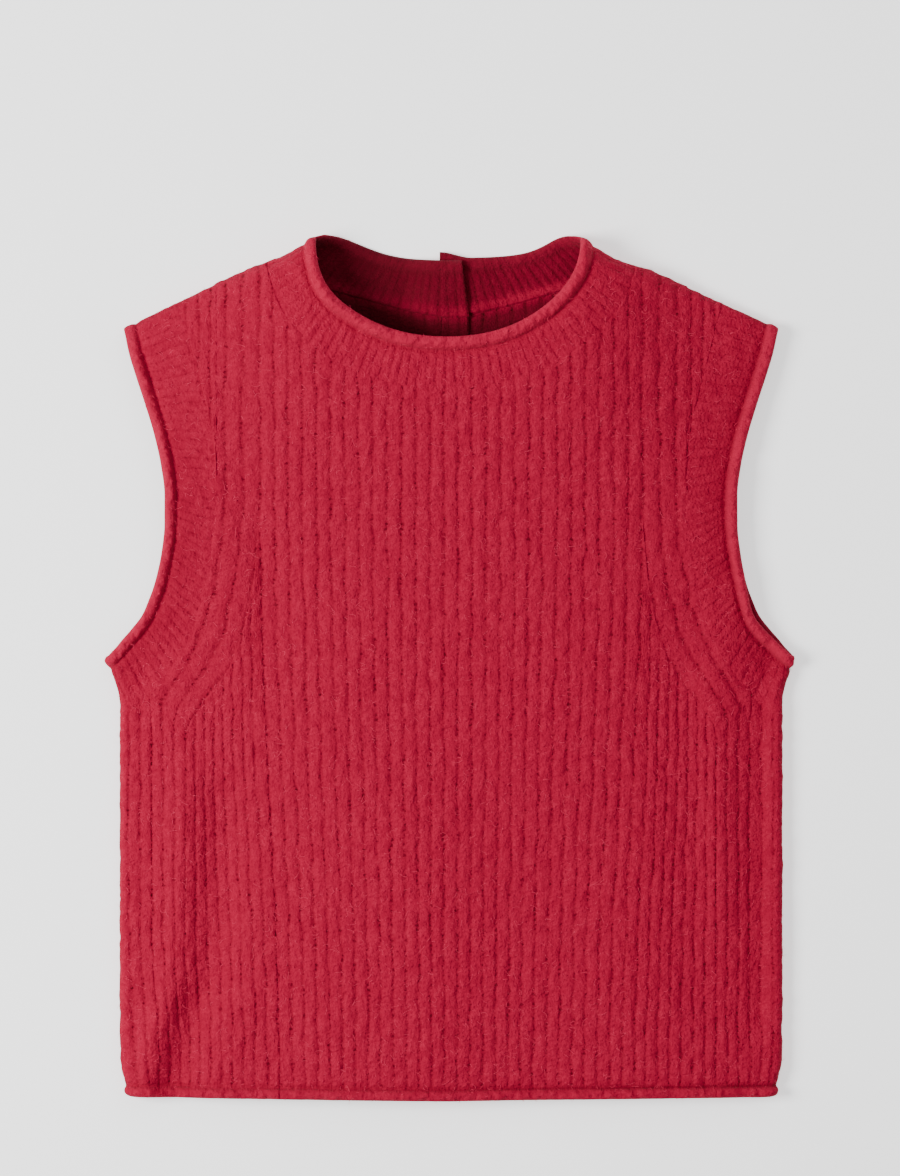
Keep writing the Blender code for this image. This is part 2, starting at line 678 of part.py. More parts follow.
def material(name, colour, roughness):
    """Principled material with a constant colour."""
    mat = bpy.data.materials.new(name)
    mat.use_nodes = True
    shader = mat.node_tree.nodes["Principled BSDF"]
    shader.inputs["Base Color"].default_value = colour
    shader.inputs["Roughness"].default_value = roughness
    shader.inputs["Metallic"].default_value = 0.0
    return mat


def main():
    """Build the vest."""
    clear_scene()
    scene = bpy.context.scene
    vest = bpy.data.collections.new("ribbed_knit_vest")
    cutters = bpy.data.collections.new("cutters")
    scene.collection.children.link(vest)
    scene.collection.children.link(cutters)

    front_panel(material("front_panel", COLOUR_BODY, ROUGH_KNIT), vest)
    for name, side, lap in (("back_panel_left", -1.0, "over"), ("back_panel_right", 1.0, "under")):
        back_panel(name, side, lap, material(name, COLOUR_BODY, ROUGH_KNIT), vest)
    collar = neckband(material("neckband", COLOUR_BAND, ROUGH_KNIT), vest)
    for name, side in (("armhole_band_left", -1.0), ("armhole_band_right", 1.0)):
        armhole_band(name, side, material(name, COLOUR_BAND, ROUGH_KNIT), vest)
    upper = material("button_band_left", COLOUR_BAND, ROUGH_KNIT)
    button_band("button_band_left", -1.0, "over", upper, vest)
    lower = material("button_band_right", COLOUR_BAND, ROUGH_KNIT)
    under = button_band("button_band_right", 1.0, "under", lower, vest)
    cut_slots(under, BUTTON_ROWS[:-1], cutters)
    cut_slots(collar, BUTTON_ROWS[-1:], cutters)
    for k, y in enumerate(BUTTON_ROWS):
        name = f"button_{k + 1}"
        button(name, y, material(name, COLOUR_BUTTON, ROUGH_BUTTON), vest)


main()
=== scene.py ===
"""The looks of a sleeveless ribbed knit vest that lies flat, face up, on a pale floor."""

from __future__ import annotations

import logging
import math
from collections.abc import Callable
from dataclasses import dataclass, field, replace
from enum import Enum

import bpy
import numpy as np
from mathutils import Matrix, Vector


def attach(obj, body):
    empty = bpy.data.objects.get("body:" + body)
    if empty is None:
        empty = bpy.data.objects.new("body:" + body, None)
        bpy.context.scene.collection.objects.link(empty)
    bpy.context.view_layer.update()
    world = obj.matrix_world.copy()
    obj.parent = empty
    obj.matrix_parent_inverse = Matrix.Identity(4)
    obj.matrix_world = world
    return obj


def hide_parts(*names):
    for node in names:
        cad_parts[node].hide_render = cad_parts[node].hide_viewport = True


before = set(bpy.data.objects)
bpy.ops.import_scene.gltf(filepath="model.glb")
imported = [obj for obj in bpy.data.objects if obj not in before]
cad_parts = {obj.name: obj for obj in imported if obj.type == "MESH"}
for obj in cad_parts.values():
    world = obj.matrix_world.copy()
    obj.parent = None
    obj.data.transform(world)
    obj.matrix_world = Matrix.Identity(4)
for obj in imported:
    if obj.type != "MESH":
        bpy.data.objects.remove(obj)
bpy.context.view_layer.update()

log = logging.getLogger("vest")
Array = np.ndarray
Sizes = tuple[float, ...]
Table = tuple[Sizes, ...]
Socket = "Value | float | tuple[float, ...]"

MM = 0.001
WHITE = (1.0, 1.0, 1.0, 1.0)
# a change between rows that counts as none, and the least length that is divided by
NO_CHANGE = 1e-12
NO_LENGTH = 1e-9


class Face(Enum):
    """The two layers of the garment as it lies."""

    FRONT = 1.0
    BACK = -1.0


class Lap(Enum):
    """How a back half lies at the opening."""

    NONE = "none"
    OVER = "over"
    UNDER = "under"


def smooth(x: Array | float) -> Array:
    """Ease from 0 to 1 with level ends."""
    x = np.clip(x, 0.0, 1.0)
    return x * x * (3.0 - 2.0 * x)


def bump_at(x: Array | float, middle: Array | float, breadth: float) -> Array:
    """A rounded bump of height 1 round a middle."""
    return np.exp(-(((x - middle) / breadth) ** 2))


def through(rows: Table, at: Array) -> Array:
    """Read a smooth curve through a table that never overshoots its rows.

    Args:
        rows: pairs of a place and a value, in millimetres.
        at: places in metres.

    Returns:
        The values at those places, in metres.
    """
    xs = np.array([row[0] for row in rows]) * MM
    ys = np.array([row[1] for row in rows]) * MM
    rise = np.diff(ys) / np.diff(xs)
    before, after = rise[:-1], rise[1:]
    total = np.where(np.abs(before + after) < NO_CHANGE, 1.0, before + after)
    inner = np.where(before * after > 0.0, 2.0 * before * after / total, 0.0)
    slope = np.concatenate([rise[:1], inner, rise[-1:]])
    at = np.clip(at, xs[0], xs[-1])
    k = np.clip(np.searchsorted(xs, at, side="right") - 1, 0, len(xs) - 2)
    width = xs[k + 1] - xs[k]
    t = (at - xs[k]) / width
    start = (1.0 + 2.0 * t) * (1.0 - t) ** 2 * ys[k] + t * (1.0 - t) ** 2 * slope[k] * width
    end = t * t * (3.0 - 2.0 * t) * ys[k + 1] + t * t * (t - 1.0) * slope[k + 1] * width
    return start + end


class SoftNoise:
    """Seeded smooth noise from -1 to 1 over a repeating square of lattice values."""

    SIDE = 256

    def __init__(self, seed: int) -> None:
        """Fill the lattice from a seed."""
        self.lattice = np.random.default_rng(seed).uniform(-1.0, 1.0, (self.SIDE, self.SIDE))

    def at(self, a: Array, b: Array) -> Array:
        """Noise at lattice coordinates a, b.

        Args:
            a: places along the lattice.
            b: places across it.

        Returns:
            The noise there.
        """
        a, b = np.broadcast_arrays(np.asarray(a, float), np.asarray(b, float))
        i, j = np.floor(a).astype(int), np.floor(b).astype(int)
        u, v = smooth(a - i), smooth(b - j)
        n = self.SIDE
        low = self.lattice[i % n, j % n] * (1 - u) + self.lattice[(i + 1) % n, j % n] * u
        j = j + 1
        high = self.lattice[i % n, j % n] * (1 - u) + self.lattice[(i + 1) % n, j % n] * u
        return low * (1 - v) + high * v


@dataclass(frozen=True)
class Form:
    """How the vest's cloth lies, by the curves that its solids follow.

    Places across and up are measured from the body's centre line and the hem, in metres.
    """

    # the cloth, its folds at the sides and beside the neck, and the front's low dome
    wall: float = 2.8 * MM
    fold_radius: float = 4.8 * MM
    neck_fold_radius: float = 14.0 * MM
    dome: float = 4.2 * MM
    dome_reach: float = 45.0 * MM
    # distance from the outline over which soft folds grow
    crease_reach: float = 14.0 * MM
    # where the wider fold beside the neck starts and over how much it grows, up and across
    neck_rise: Sizes = (350.0 * MM, 215.0 * MM)
    neck_rise_side: Sizes = (84.0 * MM, 104.0 * MM)
    # half-widths of the body, and how it rounds in at the hem's corners
    chest_half: float = 225.4 * MM
    hem_half: float = 220.5 * MM
    hem_corner: float = 28.0 * MM
    hem_round: float = 4.5 * MM
    hem_round_share: float = 0.9
    # rise of the hem's corners, and the height over which it is lost
    hem_bow: Sizes = (2.4 * MM, 150.0 * MM)
    # places across and up of the underarm and of both ends of a shoulder
    underarm: Sizes = (233.9 * MM, 301.8 * MM)
    flare_power: float = 2.0
    shoulder_tip: Sizes = (222.6 * MM, 524.4 * MM)
    shoulder_neck: Sizes = (88.0 * MM, 587.0 * MM)
    # rise of the shoulders on the left and the right, its middle across and half its width
    shoulder_bow: Sizes = (1.3 * MM, -0.4 * MM, 152.0 * MM, 62.0 * MM)
    # where it starts up the garment, and over how much it grows
    shoulder_bow_height: Sizes = (420.0 * MM, 120.0 * MM)
    # fall beside the neck on the left and the right, its middle across and half its width
    neck_dip: Sizes = (2.8 * MM, 4.3 * MM, 110.0 * MM, 19.0 * MM)
    neck_dip_height: Sizes = (515.0 * MM, 50.0 * MM)
    # shares of the shoulder at which the bands' seams cross it
    armhole_share: float = 0.7176
    neckband_share: float = 0.2714
    # share of an armhole's height above which its line is drawn onto the shoulder
    armhole_turn: float = 0.8
    # height at which the side starts to flare to the underarm
    side_seam_top: float = 263.8 * MM
    # the front neck: its centre, half-widths and depths, and the shape of its curve
    neck_centre: Sizes = (-3.0 * MM, 588.0 * MM)
    neck_edge_size: Sizes = (88.0 * MM, 70.0 * MM)
    neck_seam_size: Sizes = (124.5 * MM, 104.5 * MM)
    neck_seam_start: float = math.radians(9.0)
    neck_power: float = 2.15
    neck_turn: float = 0.3
    neck_points: int = 400
    # a height over the whole garment
    over_all: float = 1.0
    # the back neck: lowest heights and shape of the left and the right, and a swell in each
    back_edge_low: Sizes = (571.0 * MM, 573.0 * MM)
    back_edge_power: Sizes = (1.9, 2.7)
    back_edge_swell: Sizes = (5.3 * MM, 5.2 * MM)
    # middle and breadth of each swell, as shares from the centre to the shoulder
    swell_place: Table = ((0.82, 0.24), (0.86, 0.17))
    swell_stop: int = 20
    back_seam_low: float = 533.5 * MM
    back_seam_power: float = 1.35
    # the opening down the back: its bands' edges, and how its halves rise to lap
    band_left: float = -7.8 * MM
    band_right: float = 12.2 * MM
    button_thick: float = 2.2 * MM
    lap_clear: float = 0.3 * MM
    lap_flat: float = 2.0 * MM
    ramp: float = 24.0 * MM
    # the neckband's ends: extra lift and where it grows, flip and flatness of the lower end's
    # roll, and slant of the upper end
    neck_end_lift: float = 1.6 * MM
    neck_end_rise: Sizes = (2.0 * MM, 12.0 * MM)
    neck_end_flip: float = 4.0 * MM
    neck_end_reach: float = 22.0 * MM
    neck_end_flat: float = 0.35
    neck_end_slant: float = 5.0 * MM
    # pull on the neck's left corner: how far, its middle across and half its width; then where
    # it starts up the garment, and over how much it grows
    neck_pull: Sizes = (-4.0 * MM, -86.0 * MM, 24.0 * MM)
    neck_pull_height: Sizes = (508.0 * MM, 45.0 * MM)
    # share of a roll's height that is left at the shoulder's tip, where the cloth turns over a
    # side and on the back
    tip_flat: float = 0.7
    side_flat: float = 0.35
    back_roll_share: float = 0.55
    # slide of the ribs at the hem's left corner: how far, its middle across and half its width;
    # then the height at which it fades, and over how much
    drift: Sizes = (5.0 * MM, -204.0 * MM, 30.0 * MM)
    drift_height: Sizes = (38.0 * MM, 70.0 * MM)
    # how far the right armhole gives way, its middle up and half its height
    peek: Sizes = (4.5 * MM, 325.0 * MM, 22.0 * MM)
    # middle of the whole garment
    centre: Sizes = (-0.43 * MM, 293.57 * MM)
    # both ends of each soft fold, the rise of its crest and half its width
    back_creases: Table = (
        (118.0, 56.0, 142.0, 262.0, 1.9, 15.0), (176.0, 120.0, 168.0, 214.0, 1.3, 11.0),
        (66.0, 318.0, 96.0, 452.0, 1.5, 15.0), (-108.0, 128.0, -92.0, 306.0, 1.7, 17.0),
        (-70.0, 372.0, -88.0, 470.0, 1.2, 13.0),
    )
    creases: Table = (
        (-180.0, 215.0, -189.0, 86.0, 2.8, 12.0), (-193.0, 66.0, -209.0, 12.0, 4.2, 11.0),
        (-154.0, 205.0, -162.0, 88.0, -4.0, 15.0), (-172.0, 68.0, -187.0, 10.0, -6.0, 13.0),
        (-134.0, 120.0, -150.0, 24.0, 1.2, 15.0), (176.0, 285.0, 184.0, 130.0, 1.8, 13.0),
        (158.0, 330.0, 170.0, 60.0, -3.0, 22.0), (216.0, 300.0, 213.0, 60.0, -4.6, 20.0),
        (-84.0, 260.0, -80.0, 10.0, 2.6, 36.0), (-26.0, 190.0, -22.0, 10.0, 3.0, 34.0),
        (64.0, 150.0, 58.0, 10.0, -1.8, 36.0), (-138.0, 430.0, -124.0, 320.0, -2.4, 18.0),
        (-176.0, 535.0, -170.0, 405.0, 4.2, 46.0),
    )
    # height and half-width of the armhole's rolled edge
    armhole_edge_rows: Table = (
        (301.8, 232.3), (304.0, 231.1), (307.8, 227.6), (313.0, 223.4), (319.6, 217.6),
        (329.8, 209.8), (340.0, 205.3), (350.2, 201.6), (370.6, 196.8), (391.0, 194.5),
        (411.4, 194.4), (431.8, 196.9), (452.0, 201.4), (472.6, 207.6), (493.0, 214.3),
        (509.0, 219.2), (524.6, 222.6),
    )
    # height and half-width of the armhole band's seam
    armhole_seam_rows: Table = (
        (263.8, 224.0), (265.2, 219.6), (268.6, 211.5), (278.8, 201.0), (295.8, 187.9),
        (312.8, 178.0), (333.2, 170.6), (353.6, 166.0), (380.8, 161.2), (401.2, 159.1),
        (421.6, 158.6), (442.0, 160.5), (462.4, 163.9), (482.8, 168.8), (510.0, 176.0),
        (542.8, 184.3),
    )

    def side_half(self, y: Array) -> Array:
        """Half-width of the folded side at a height.

        Args:
            y: places up from the hem.

        Returns:
            The half-widths.
        """
        corner = self.hem_half + (self.chest_half - self.hem_half) * smooth(y / self.hem_corner)
        short = np.clip(1.0 - y / self.hem_round, 0.0, 1.0)
        rounded = 1.0 - np.sqrt(1.0 - self.hem_round_share * short * short)
        corner = corner - self.hem_round * rounded
        flare = (y - self.side_seam_top) / (self.underarm[1] - self.side_seam_top)
        return corner + (self.underarm[0] - self.chest_half) * smooth(flare) ** self.flare_power

    def shoulder_outward(self, side: float) -> Array:
        """Direction straight out over a shoulder fold.

        Args:
            side: -1 on the left and 1 on the right.

        Returns:
            A plan vector of length 1.
        """
        across = self.shoulder_tip[0] - self.shoulder_neck[0]
        fall = self.shoulder_neck[1] - self.shoulder_tip[1]
        return np.array([side * fall, across]) / math.hypot(across, fall)

    def shoulder_point(self, share: Array | float, side: float) -> Array:
        """Middle of the wall on a shoulder fold, from the neck at 0 to the tip at 1.

        Args:
            share: shares of the fold's length.
            side: -1 on the left and 1 on the right.

        Returns:
            Plan points.
        """
        share = np.asarray(share, float)[..., None]
        neck = np.array([side * self.shoulder_neck[0], self.shoulder_neck[1]])
        tip = np.array([side * self.shoulder_tip[0], self.shoulder_tip[1]])
        return neck + (tip - neck) * share - self.shoulder_outward(side) * self.wall / 2.0

    def shoulder_height(self, x: Array) -> Array:
        """Height of the shoulder fold at a place across.

        Args:
            x: places across.

        Returns:
            The heights.
        """
        x = np.asarray(x, float)
        left, right = self.shoulder_point([0.0, 1.0], -1.0), self.shoulder_point([0.0, 1.0], 1.0)
        on_left = np.interp(x, left[::-1, 0], left[::-1, 1])
        return np.where(x < 0.0, on_left, np.interp(x, right[:, 0], right[:, 1]))

    def radius_at(self, x: Array, y: Array) -> Array:
        """Half the distance between the middles of the two layers.

        Args:
            x: places across.
            y: places up from the hem.

        Returns:
            The radii of the folds.
        """
        near = smooth((y - self.neck_rise[0]) / self.neck_rise[1])
        away = (np.abs(x - self.neck_centre[0]) - self.neck_rise_side[0]) / self.neck_rise_side[1]
        more = (self.neck_fold_radius - self.fold_radius) * near * (1.0 - smooth(away))
        return self.fold_radius + more

    def drifted(self, x: Array, y: Array) -> Array:
        """Place across once the ribs beside the fold at the hem's left corner have slid inward.

        Args:
            x: places across.
            y: places up from the hem.

        Returns:
            The new places across.
        """
        reach, middle, half = self.drift
        low = 1.0 - smooth((y - self.drift_height[0]) / self.drift_height[1])
        edge = smooth((self.side_half(y) - np.abs(x)) / (2.0 * self.fold_radius))
        return x + reach * low * edge * bump_at(x, middle, half)

    def side_keep(self, normal: Array) -> Array:
        """Share of a roll's height that is kept where the cloth turns over a side."""
        return self.side_flat + (1.0 - self.side_flat) * np.abs(normal[..., 2])

    def crease_rise(self, x: Array, y: Array, face: Face) -> Array:
        """Height that a layer's soft folds add.

        Args:
            x: places across.
            y: places up from the hem.
            face: which layer.

        Returns:
            The heights.
        """
        rise = np.zeros(np.shape(x))
        rows = self.creases if face is Face.FRONT else self.back_creases
        for x0, y0, x1, y1, crest, half in rows:
            span = np.array([x1 - x0, y1 - y0]) * MM
            px, py = x - x0 * MM, y - y0 * MM
            along = np.clip((px * span[0] + py * span[1]) / (span @ span), 0.0, 1.0)
            away = np.hypot(px - span[0] * along, py - span[1] * along)
            rise = rise + crest * MM * bump_at(away, 0.0, half * MM)
        return rise

    def lap_lift(self, x: Array, y: Array, lap: Lap) -> Array:
        """Rise of a back half towards the opening.

        Args:
            x: places across.
            y: places up from the hem.
            lap: how the half lies.

        Returns:
            The rises.
        """
        under = self.button_thick + self.lap_clear
        if lap is Lap.OVER:
            rise = smooth((x - self.band_left + self.ramp + self.lap_flat) / self.ramp)
            start, reach = self.neck_end_rise
            end = self.neck_end_lift * smooth((y - self.back_seam_low - start) / reach)
            return (under + self.wall + self.lap_clear + end) * rise
        if lap is Lap.UNDER:
            return under * (1.0 - smooth((x - self.band_right - self.lap_flat) / self.ramp))
        return np.zeros(np.shape(x))

    def pulled(self, x: Array, y: Array) -> Array:
        """Place across once the neck's left corner has been pulled outward.

        Args:
            x: places across.
            y: places up from the hem.

        Returns:
            The new places across.
        """
        reach, middle, half = self.neck_pull
        high = smooth((y - self.neck_pull_height[0]) / self.neck_pull_height[1])
        return x + reach * high * bump_at(x, middle, half)

    def bowed(self, x: Array, y: Array) -> Array:
        """Height of a place once the hem's corners and the shoulders' middles have risen.

        Args:
            x: places across.
            y: places up from the hem.

        Returns:
            The new places up from the hem.
        """
        fade = 1.0 - smooth(y / self.hem_bow[1])
        hem = self.hem_bow[0] * np.abs(x) / self.chest_half * fade
        left, right, middle, half = self.shoulder_bow
        away = (np.abs(x) - middle) / half
        near = smooth((y - self.shoulder_bow_height[0]) / self.shoulder_bow_height[1])
        rise = np.where(x < 0.0, left, right) * np.maximum(1.0 - away * away, 0.0) * near
        left, right, middle, half = self.neck_dip
        high = smooth((y - self.neck_dip_height[0]) / self.neck_dip_height[1])
        fall = np.where(x < 0.0, left, right) * high * bump_at(np.abs(x), middle, half)
        return y + hem + rise - fall

    def lay(self, x: Array, y: Array, face: Face, lap: Lap = Lap.NONE) -> tuple[Array, Array]:
        """Lay cloth over plan places.

        Args:
            x: places across.
            y: places up from the hem.
            face: which layer.
            lap: how that layer lies at the opening.

        Returns:
            The middle of the wall and its outward direction, one row for each place.
        """
        x, y = np.broadcast_arrays(np.asarray(x, float), np.asarray(y, float))
        side = np.where(x < 0.0, -1.0, 1.0)
        top = self.shoulder_outward(1.0)
        neck = self.shoulder_point(0.0, 1.0)
        d_top = (neck[0] - np.abs(x)) * top[0] + (neck[1] - y) * top[1] + self.wall / 2.0
        ax, ay = np.abs(x) - self.underarm[0], y - self.underarm[1]
        far = np.maximum(np.hypot(ax, ay), NO_LENGTH)
        below = y <= self.underarm[1]
        d_side = np.where(below, self.side_half(y) - np.abs(x), far)
        out_x = np.where(below, side, -side * ax / far)
        out_y = np.where(below, 0.0, -ay / far)
        by_side = d_side < d_top
        d = np.where(by_side, d_side, d_top)
        out_x = np.where(by_side, out_x, side * top[0])
        out_y = np.where(by_side, out_y, top[1])
        radius = self.radius_at(x, y)
        turn = 1.0 - np.clip((d - self.wall / 2.0) / radius, 0.0, 1.0)
        level = np.sqrt(1.0 - turn * turn)
        z = self.wall / 2.0 + radius + face.value * radius * level
        if face is Face.FRONT:
            z = z + self.dome * smooth(d / self.dome_reach) * (1.0 - (x / self.chest_half) ** 2)
        else:
            z = z + self.lap_lift(x, y, lap)
        z = z + self.crease_rise(x, y, face) * smooth((d - self.wall) / self.crease_reach)
        normal = np.stack([out_x * turn, out_y * turn, face.value * level], -1)
        normal = normal / np.linalg.norm(normal, axis=-1, keepdims=True)
        place = [self.pulled(x, y) - self.centre[0], self.bowed(x, y) - self.centre[1], z]
        return np.stack(place, -1), normal

    def armhole_line(
        self, rows: Table, share: Array, side: float, end_share: float, peeks: bool = False
    ) -> Array:
        """Line up an armhole, whose end is drawn onto the shoulder fold.

        Args:
            rows: its heights and half-widths.
            share: shares of its height.
            side: -1 on the left and 1 on the right.
            end_share: where on the shoulder fold it ends.
            peeks: whether it gives way so that the back shows past it.

        Returns:
            Its plan points.
        """
        share = np.asarray(share, float)
        low, high = rows[0][0] * MM, rows[-1][0] * MM
        y = low + (high - low) * share
        half = through(rows, y)
        if peeks:
            half = half - self.peek[0] * bump_at(y, *self.peek[1:])
        pull = self.shoulder_point(end_share, side) - np.array([side * rows[-1][1] * MM, high])
        turn = smooth((share - self.armhole_turn) / (1.0 - self.armhole_turn))
        return np.stack([side * half, y], -1) + pull * turn[..., None]

    def armhole_seam(self, share: Array, side: float) -> Array:
        """Armhole seam from the side at 0 to the shoulder at 1."""
        return self.armhole_line(self.armhole_seam_rows, share, side, self.armhole_share)

    def armhole_edge(self, share: Array, side: float, face: Face) -> Array:
        """Armhole's rolled edge from the underarm at 0 to the shoulder tip at 1."""
        peeks = side > 0.0 and face is Face.FRONT
        return self.armhole_line(self.armhole_edge_rows, share, side, 1.0, peeks)

    def neck_curve(self, share: Array, size: Sizes, start: float) -> Array:
        """Front neck curve from the left shoulder at 0 to the right at 1.

        Args:
            share: shares of the curve.
            size: its half-width and depth.
            start: angle under the shoulders at which it starts.

        Returns:
            Plan points.
        """
        angle = math.pi + start + (math.pi - 2.0 * start) * np.asarray(share, float)
        c, s = np.cos(angle), np.sin(angle)
        power = 2.0 / self.neck_power
        x = self.neck_centre[0] + size[0] * np.sign(c) * np.abs(c) ** power
        y = self.neck_centre[1] + size[1] * np.sign(s) * np.abs(s) ** power
        return np.stack([x, y], -1)

    def neck_line(self, share: Array, seam: bool) -> Array:
        """Front neck edge or seam with its ends on the shoulder folds.

        Args:
            share: shares of the curve, from the left to the right.
            seam: whether the seam is wanted and not the edge.

        Returns:
            Plan points.
        """
        share = np.asarray(share, float)
        size = self.neck_seam_size if seam else self.neck_edge_size
        start = self.neck_seam_start if seam else 0.0
        end = self.neckband_share if seam else 0.0
        left = self.shoulder_point(end, -1.0) - self.neck_curve(0.0, size, start)
        right = self.shoulder_point(end, 1.0) - self.neck_curve(1.0, size, start)
        at_left = (1.0 - smooth(share / self.neck_turn))[..., None]
        at_right = smooth((share - 1.0 + self.neck_turn) / self.neck_turn)[..., None]
        return self.neck_curve(share, size, start) + left * at_left + right * at_right

    def back_line(self, x: Array, seam: bool, side: float) -> Array:
        """Back neck edge or seam of one half at places across.

        Args:
            x: places across.
            seam: whether the seam is wanted and not the edge.
            side: -1 on the left and 1 on the right.

        Returns:
            Plan points.
        """
        x = np.asarray(x, float)
        half = 0 if side < 0.0 else 1
        low = self.back_seam_low if seam else self.back_edge_low[half]
        power = self.back_seam_power if seam else self.back_edge_power[half]
        end = self.shoulder_point(self.neckband_share if seam else 0.0, side)
        away = np.clip((x - self.neck_centre[0]) / (end[0] - self.neck_centre[0]), 0.0, 1.0)
        swell = 0.0 if seam else self.back_edge_swell[half]
        swell = swell * bump_at(away, *self.swell_place[half]) * (1.0 - away**self.swell_stop)
        return np.stack([x, low + (end[1] - low) * away**power + swell], -1)

    def top_of_front(self, x: Array) -> Array:
        """Height at which the front panel ends: shoulder, or neckband seam.

        Args:
            x: places across.

        Returns:
            The heights.
        """
        line = self.neck_line(np.linspace(0.0, 1.0, self.neck_points), seam=True)
        neck = np.interp(x, line[:, 0], line[:, 1], left=self.over_all, right=self.over_all)
        return np.minimum(neck, self.shoulder_height(x))

    def top_of_back(self, x: Array) -> Array:
        """Height at which the back ends: shoulder, or neckband seam.

        Args:
            x: places across.

        Returns:
            The heights.
        """
        ends = [self.shoulder_point(self.neckband_share, side)[0] for side in (-1.0, 1.0)]
        x = np.asarray(x, float)
        inside = (x > ends[0]) & (x < ends[1])
        lines = [self.back_line(x, True, side)[..., 1] for side in (-1.0, 1.0)]
        return np.where(inside, np.where(x < 0.0, *lines), self.shoulder_height(x))


@dataclass(frozen=True)
class RolledEdge:
    """Section of an edge that rolls outward: a bead, a crease, then the flat wall."""

    breadth: float = 1.0
    # where the bead ends and where the flat cloth starts, and over how much
    bead_end: Sizes = (6.3 * MM, 3.0 * MM)
    flat_start: Sizes = (7.5 * MM, 4.0 * MM)
    # share, grain and start of the bead's broad and fine wander
    wander: Table = ((0.16, 8.0 * MM, 0.0), (0.17, 2.9 * MM, 31.0))
    # distances from the edge at which the section has points
    places: Sizes = (
        *(0.0, 0.12, 0.3, 0.6, 1.1, 1.8, 2.6, 3.5, 4.4, 5.3),
        *(6.1, 6.8, 7.3, 7.8, 8.4, 9.2, 10.2),
    )
    # distance from the edge, height of the outside and inside over the wall's inside
    rows: Table = (
        (0.0, 2.6, 1.7), (0.25, 3.9, 0.9), (0.8, 5.1, 0.3), (1.7, 6.0, 0.0),
        (3.0, 6.5, 0.0), (4.4, 6.3, 0.0), (5.7, 5.4, 0.0), (6.6, 4.1, 0.0),
        (7.3, 2.6, 0.0), (7.9, 1.5, 0.0), (8.7, 1.7, 0.0), (10.0, 2.5, 0.0),
        (12.5, 2.8, 0.0),
    )

    def stops(self) -> Array:
        """Distances from the edge at which the section has points."""
        return np.array(self.places) * MM * self.breadth

    def outer(self, s: Array) -> Array:
        """Height of the outside over the wall's inside."""
        return through(tuple((row[0], row[1]) for row in self.rows), s / self.breadth)

    def inner(self, s: Array) -> Array:
        """Height of the inside over the wall's own inside."""
        return through(tuple((row[0], row[2]) for row in self.rows), s / self.breadth)

    def bead(self, s: Array) -> Array:
        """1 on the bead and 0 past its crease."""
        return 1.0 - smooth((s / self.breadth - self.bead_end[0]) / self.bead_end[1])

    def past(self, s: Array) -> Array:
        """0 on the roll and its crease, and 1 on the flat cloth past them."""
        return smooth((s / self.breadth - self.flat_start[0]) / self.flat_start[1])

    def unevenness(self, a: Array, b: Array) -> Array:
        """Small share by which the bead's thickness wanders."""
        (broad, large, start), (fine, small, begin) = self.wander
        return broad * UNEVEN.at(a / large + start, b / large) + fine * UNEVEN.at(
            a / small + begin, b / small
        )


UNEVEN = SoftNoise(seed=5)
FLOOR_GAP = 0.15 * MM


def above_floor(points: Array) -> Array:
    """Points with none of them under the floor."""
    return np.concatenate([points[..., :2], np.maximum(points[..., 2:], FLOOR_GAP)], -1)


@dataclass(frozen=True)
class PaintedInsideShade:
    """Painted shade on the inside of the cloth, as a share of the cloth's own colour.

    The wearer's right is painted deeper in the shade. A fold beside the neckband's seam gets a
    painted highlight and the cloth below it painted shadow.
    """

    least: float = 0.235
    # how much lighter it grows, from a place across, over a distance: to the right and the left
    to_right: Sizes = (0.32, -75.0 * MM, 150.0 * MM)
    to_left: Sizes = (0.10, 50.0 * MM, 30.0 * MM)
    # strengths of the fold's painted highlight and of the painted shadow below it, their places
    # past the seam and breadths
    ridge: Sizes = (0.75, -2.0 * MM, 4.4 * MM)
    below: Sizes = (0.34, 1.0 * MM, 7.0 * MM)

    def at(self, x: Array, past_seam: Array | float) -> Array:
        """Painted shade at places across, and past the neckband's seam: less than 0 on the band.

        Args:
            x: places across.
            past_seam: distances past the neckband's seam.

        Returns:
            The shares of the cloth's own colour.
        """
        (right, start, reach), (left, far, over) = self.to_right, self.to_left
        across = self.least + right * smooth((x - start) / reach)
        across = across + left * smooth((-x - far) / over)
        ridge = self.ridge[0] * bump_at(past_seam, *self.ridge[1:])
        below = self.below[0] * smooth((past_seam - self.below[1]) / self.below[2])
        return across * (1.0 + ridge - below)


PAINTED_INSIDE_SHADE = PaintedInsideShade()


def walls(
    middle: Array, normal: Array, rise: Array, outward: Array, inward: Array
) -> tuple[Array, Array]:
    """Points of both sides of the cloth.

    Args:
        middle: the middle of the wall.
        normal: its outward direction.
        rise: height of a roll over the wall, which lifts the cloth where it lies on the floor.
        outward: distance of the outside from the middle.
        inward: distance of the inside from it.

    Returns:
        The outer and the inner points.
    """
    lift = np.maximum(rise, 0.0) * np.maximum(-normal[..., 2], 0.0)
    middle = middle + np.stack([0.0 * lift, 0.0 * lift, lift], -1)
    return above_floor(middle + normal * outward[..., None]), middle - normal * inward[..., None]


@dataclass(frozen=True)
class Seam:
    """What a seam does to the ribs that meet it: it flattens them and draws the cloth in."""

    reach: float = 2.4 * MM
    flattened: float = 0.75
    dip: float = 0.2 * MM

    def sewn(self, ribs: Array, from_seam: Array) -> tuple[Array, Array]:
        """Ribs that grow shallow at the seam, and the dip along it."""
        near = 1.0 - smooth(np.maximum(from_seam, 0.0) / self.reach)
        return ribs * (1.0 - self.flattened * near), -self.dip * near


SEAM = Seam()


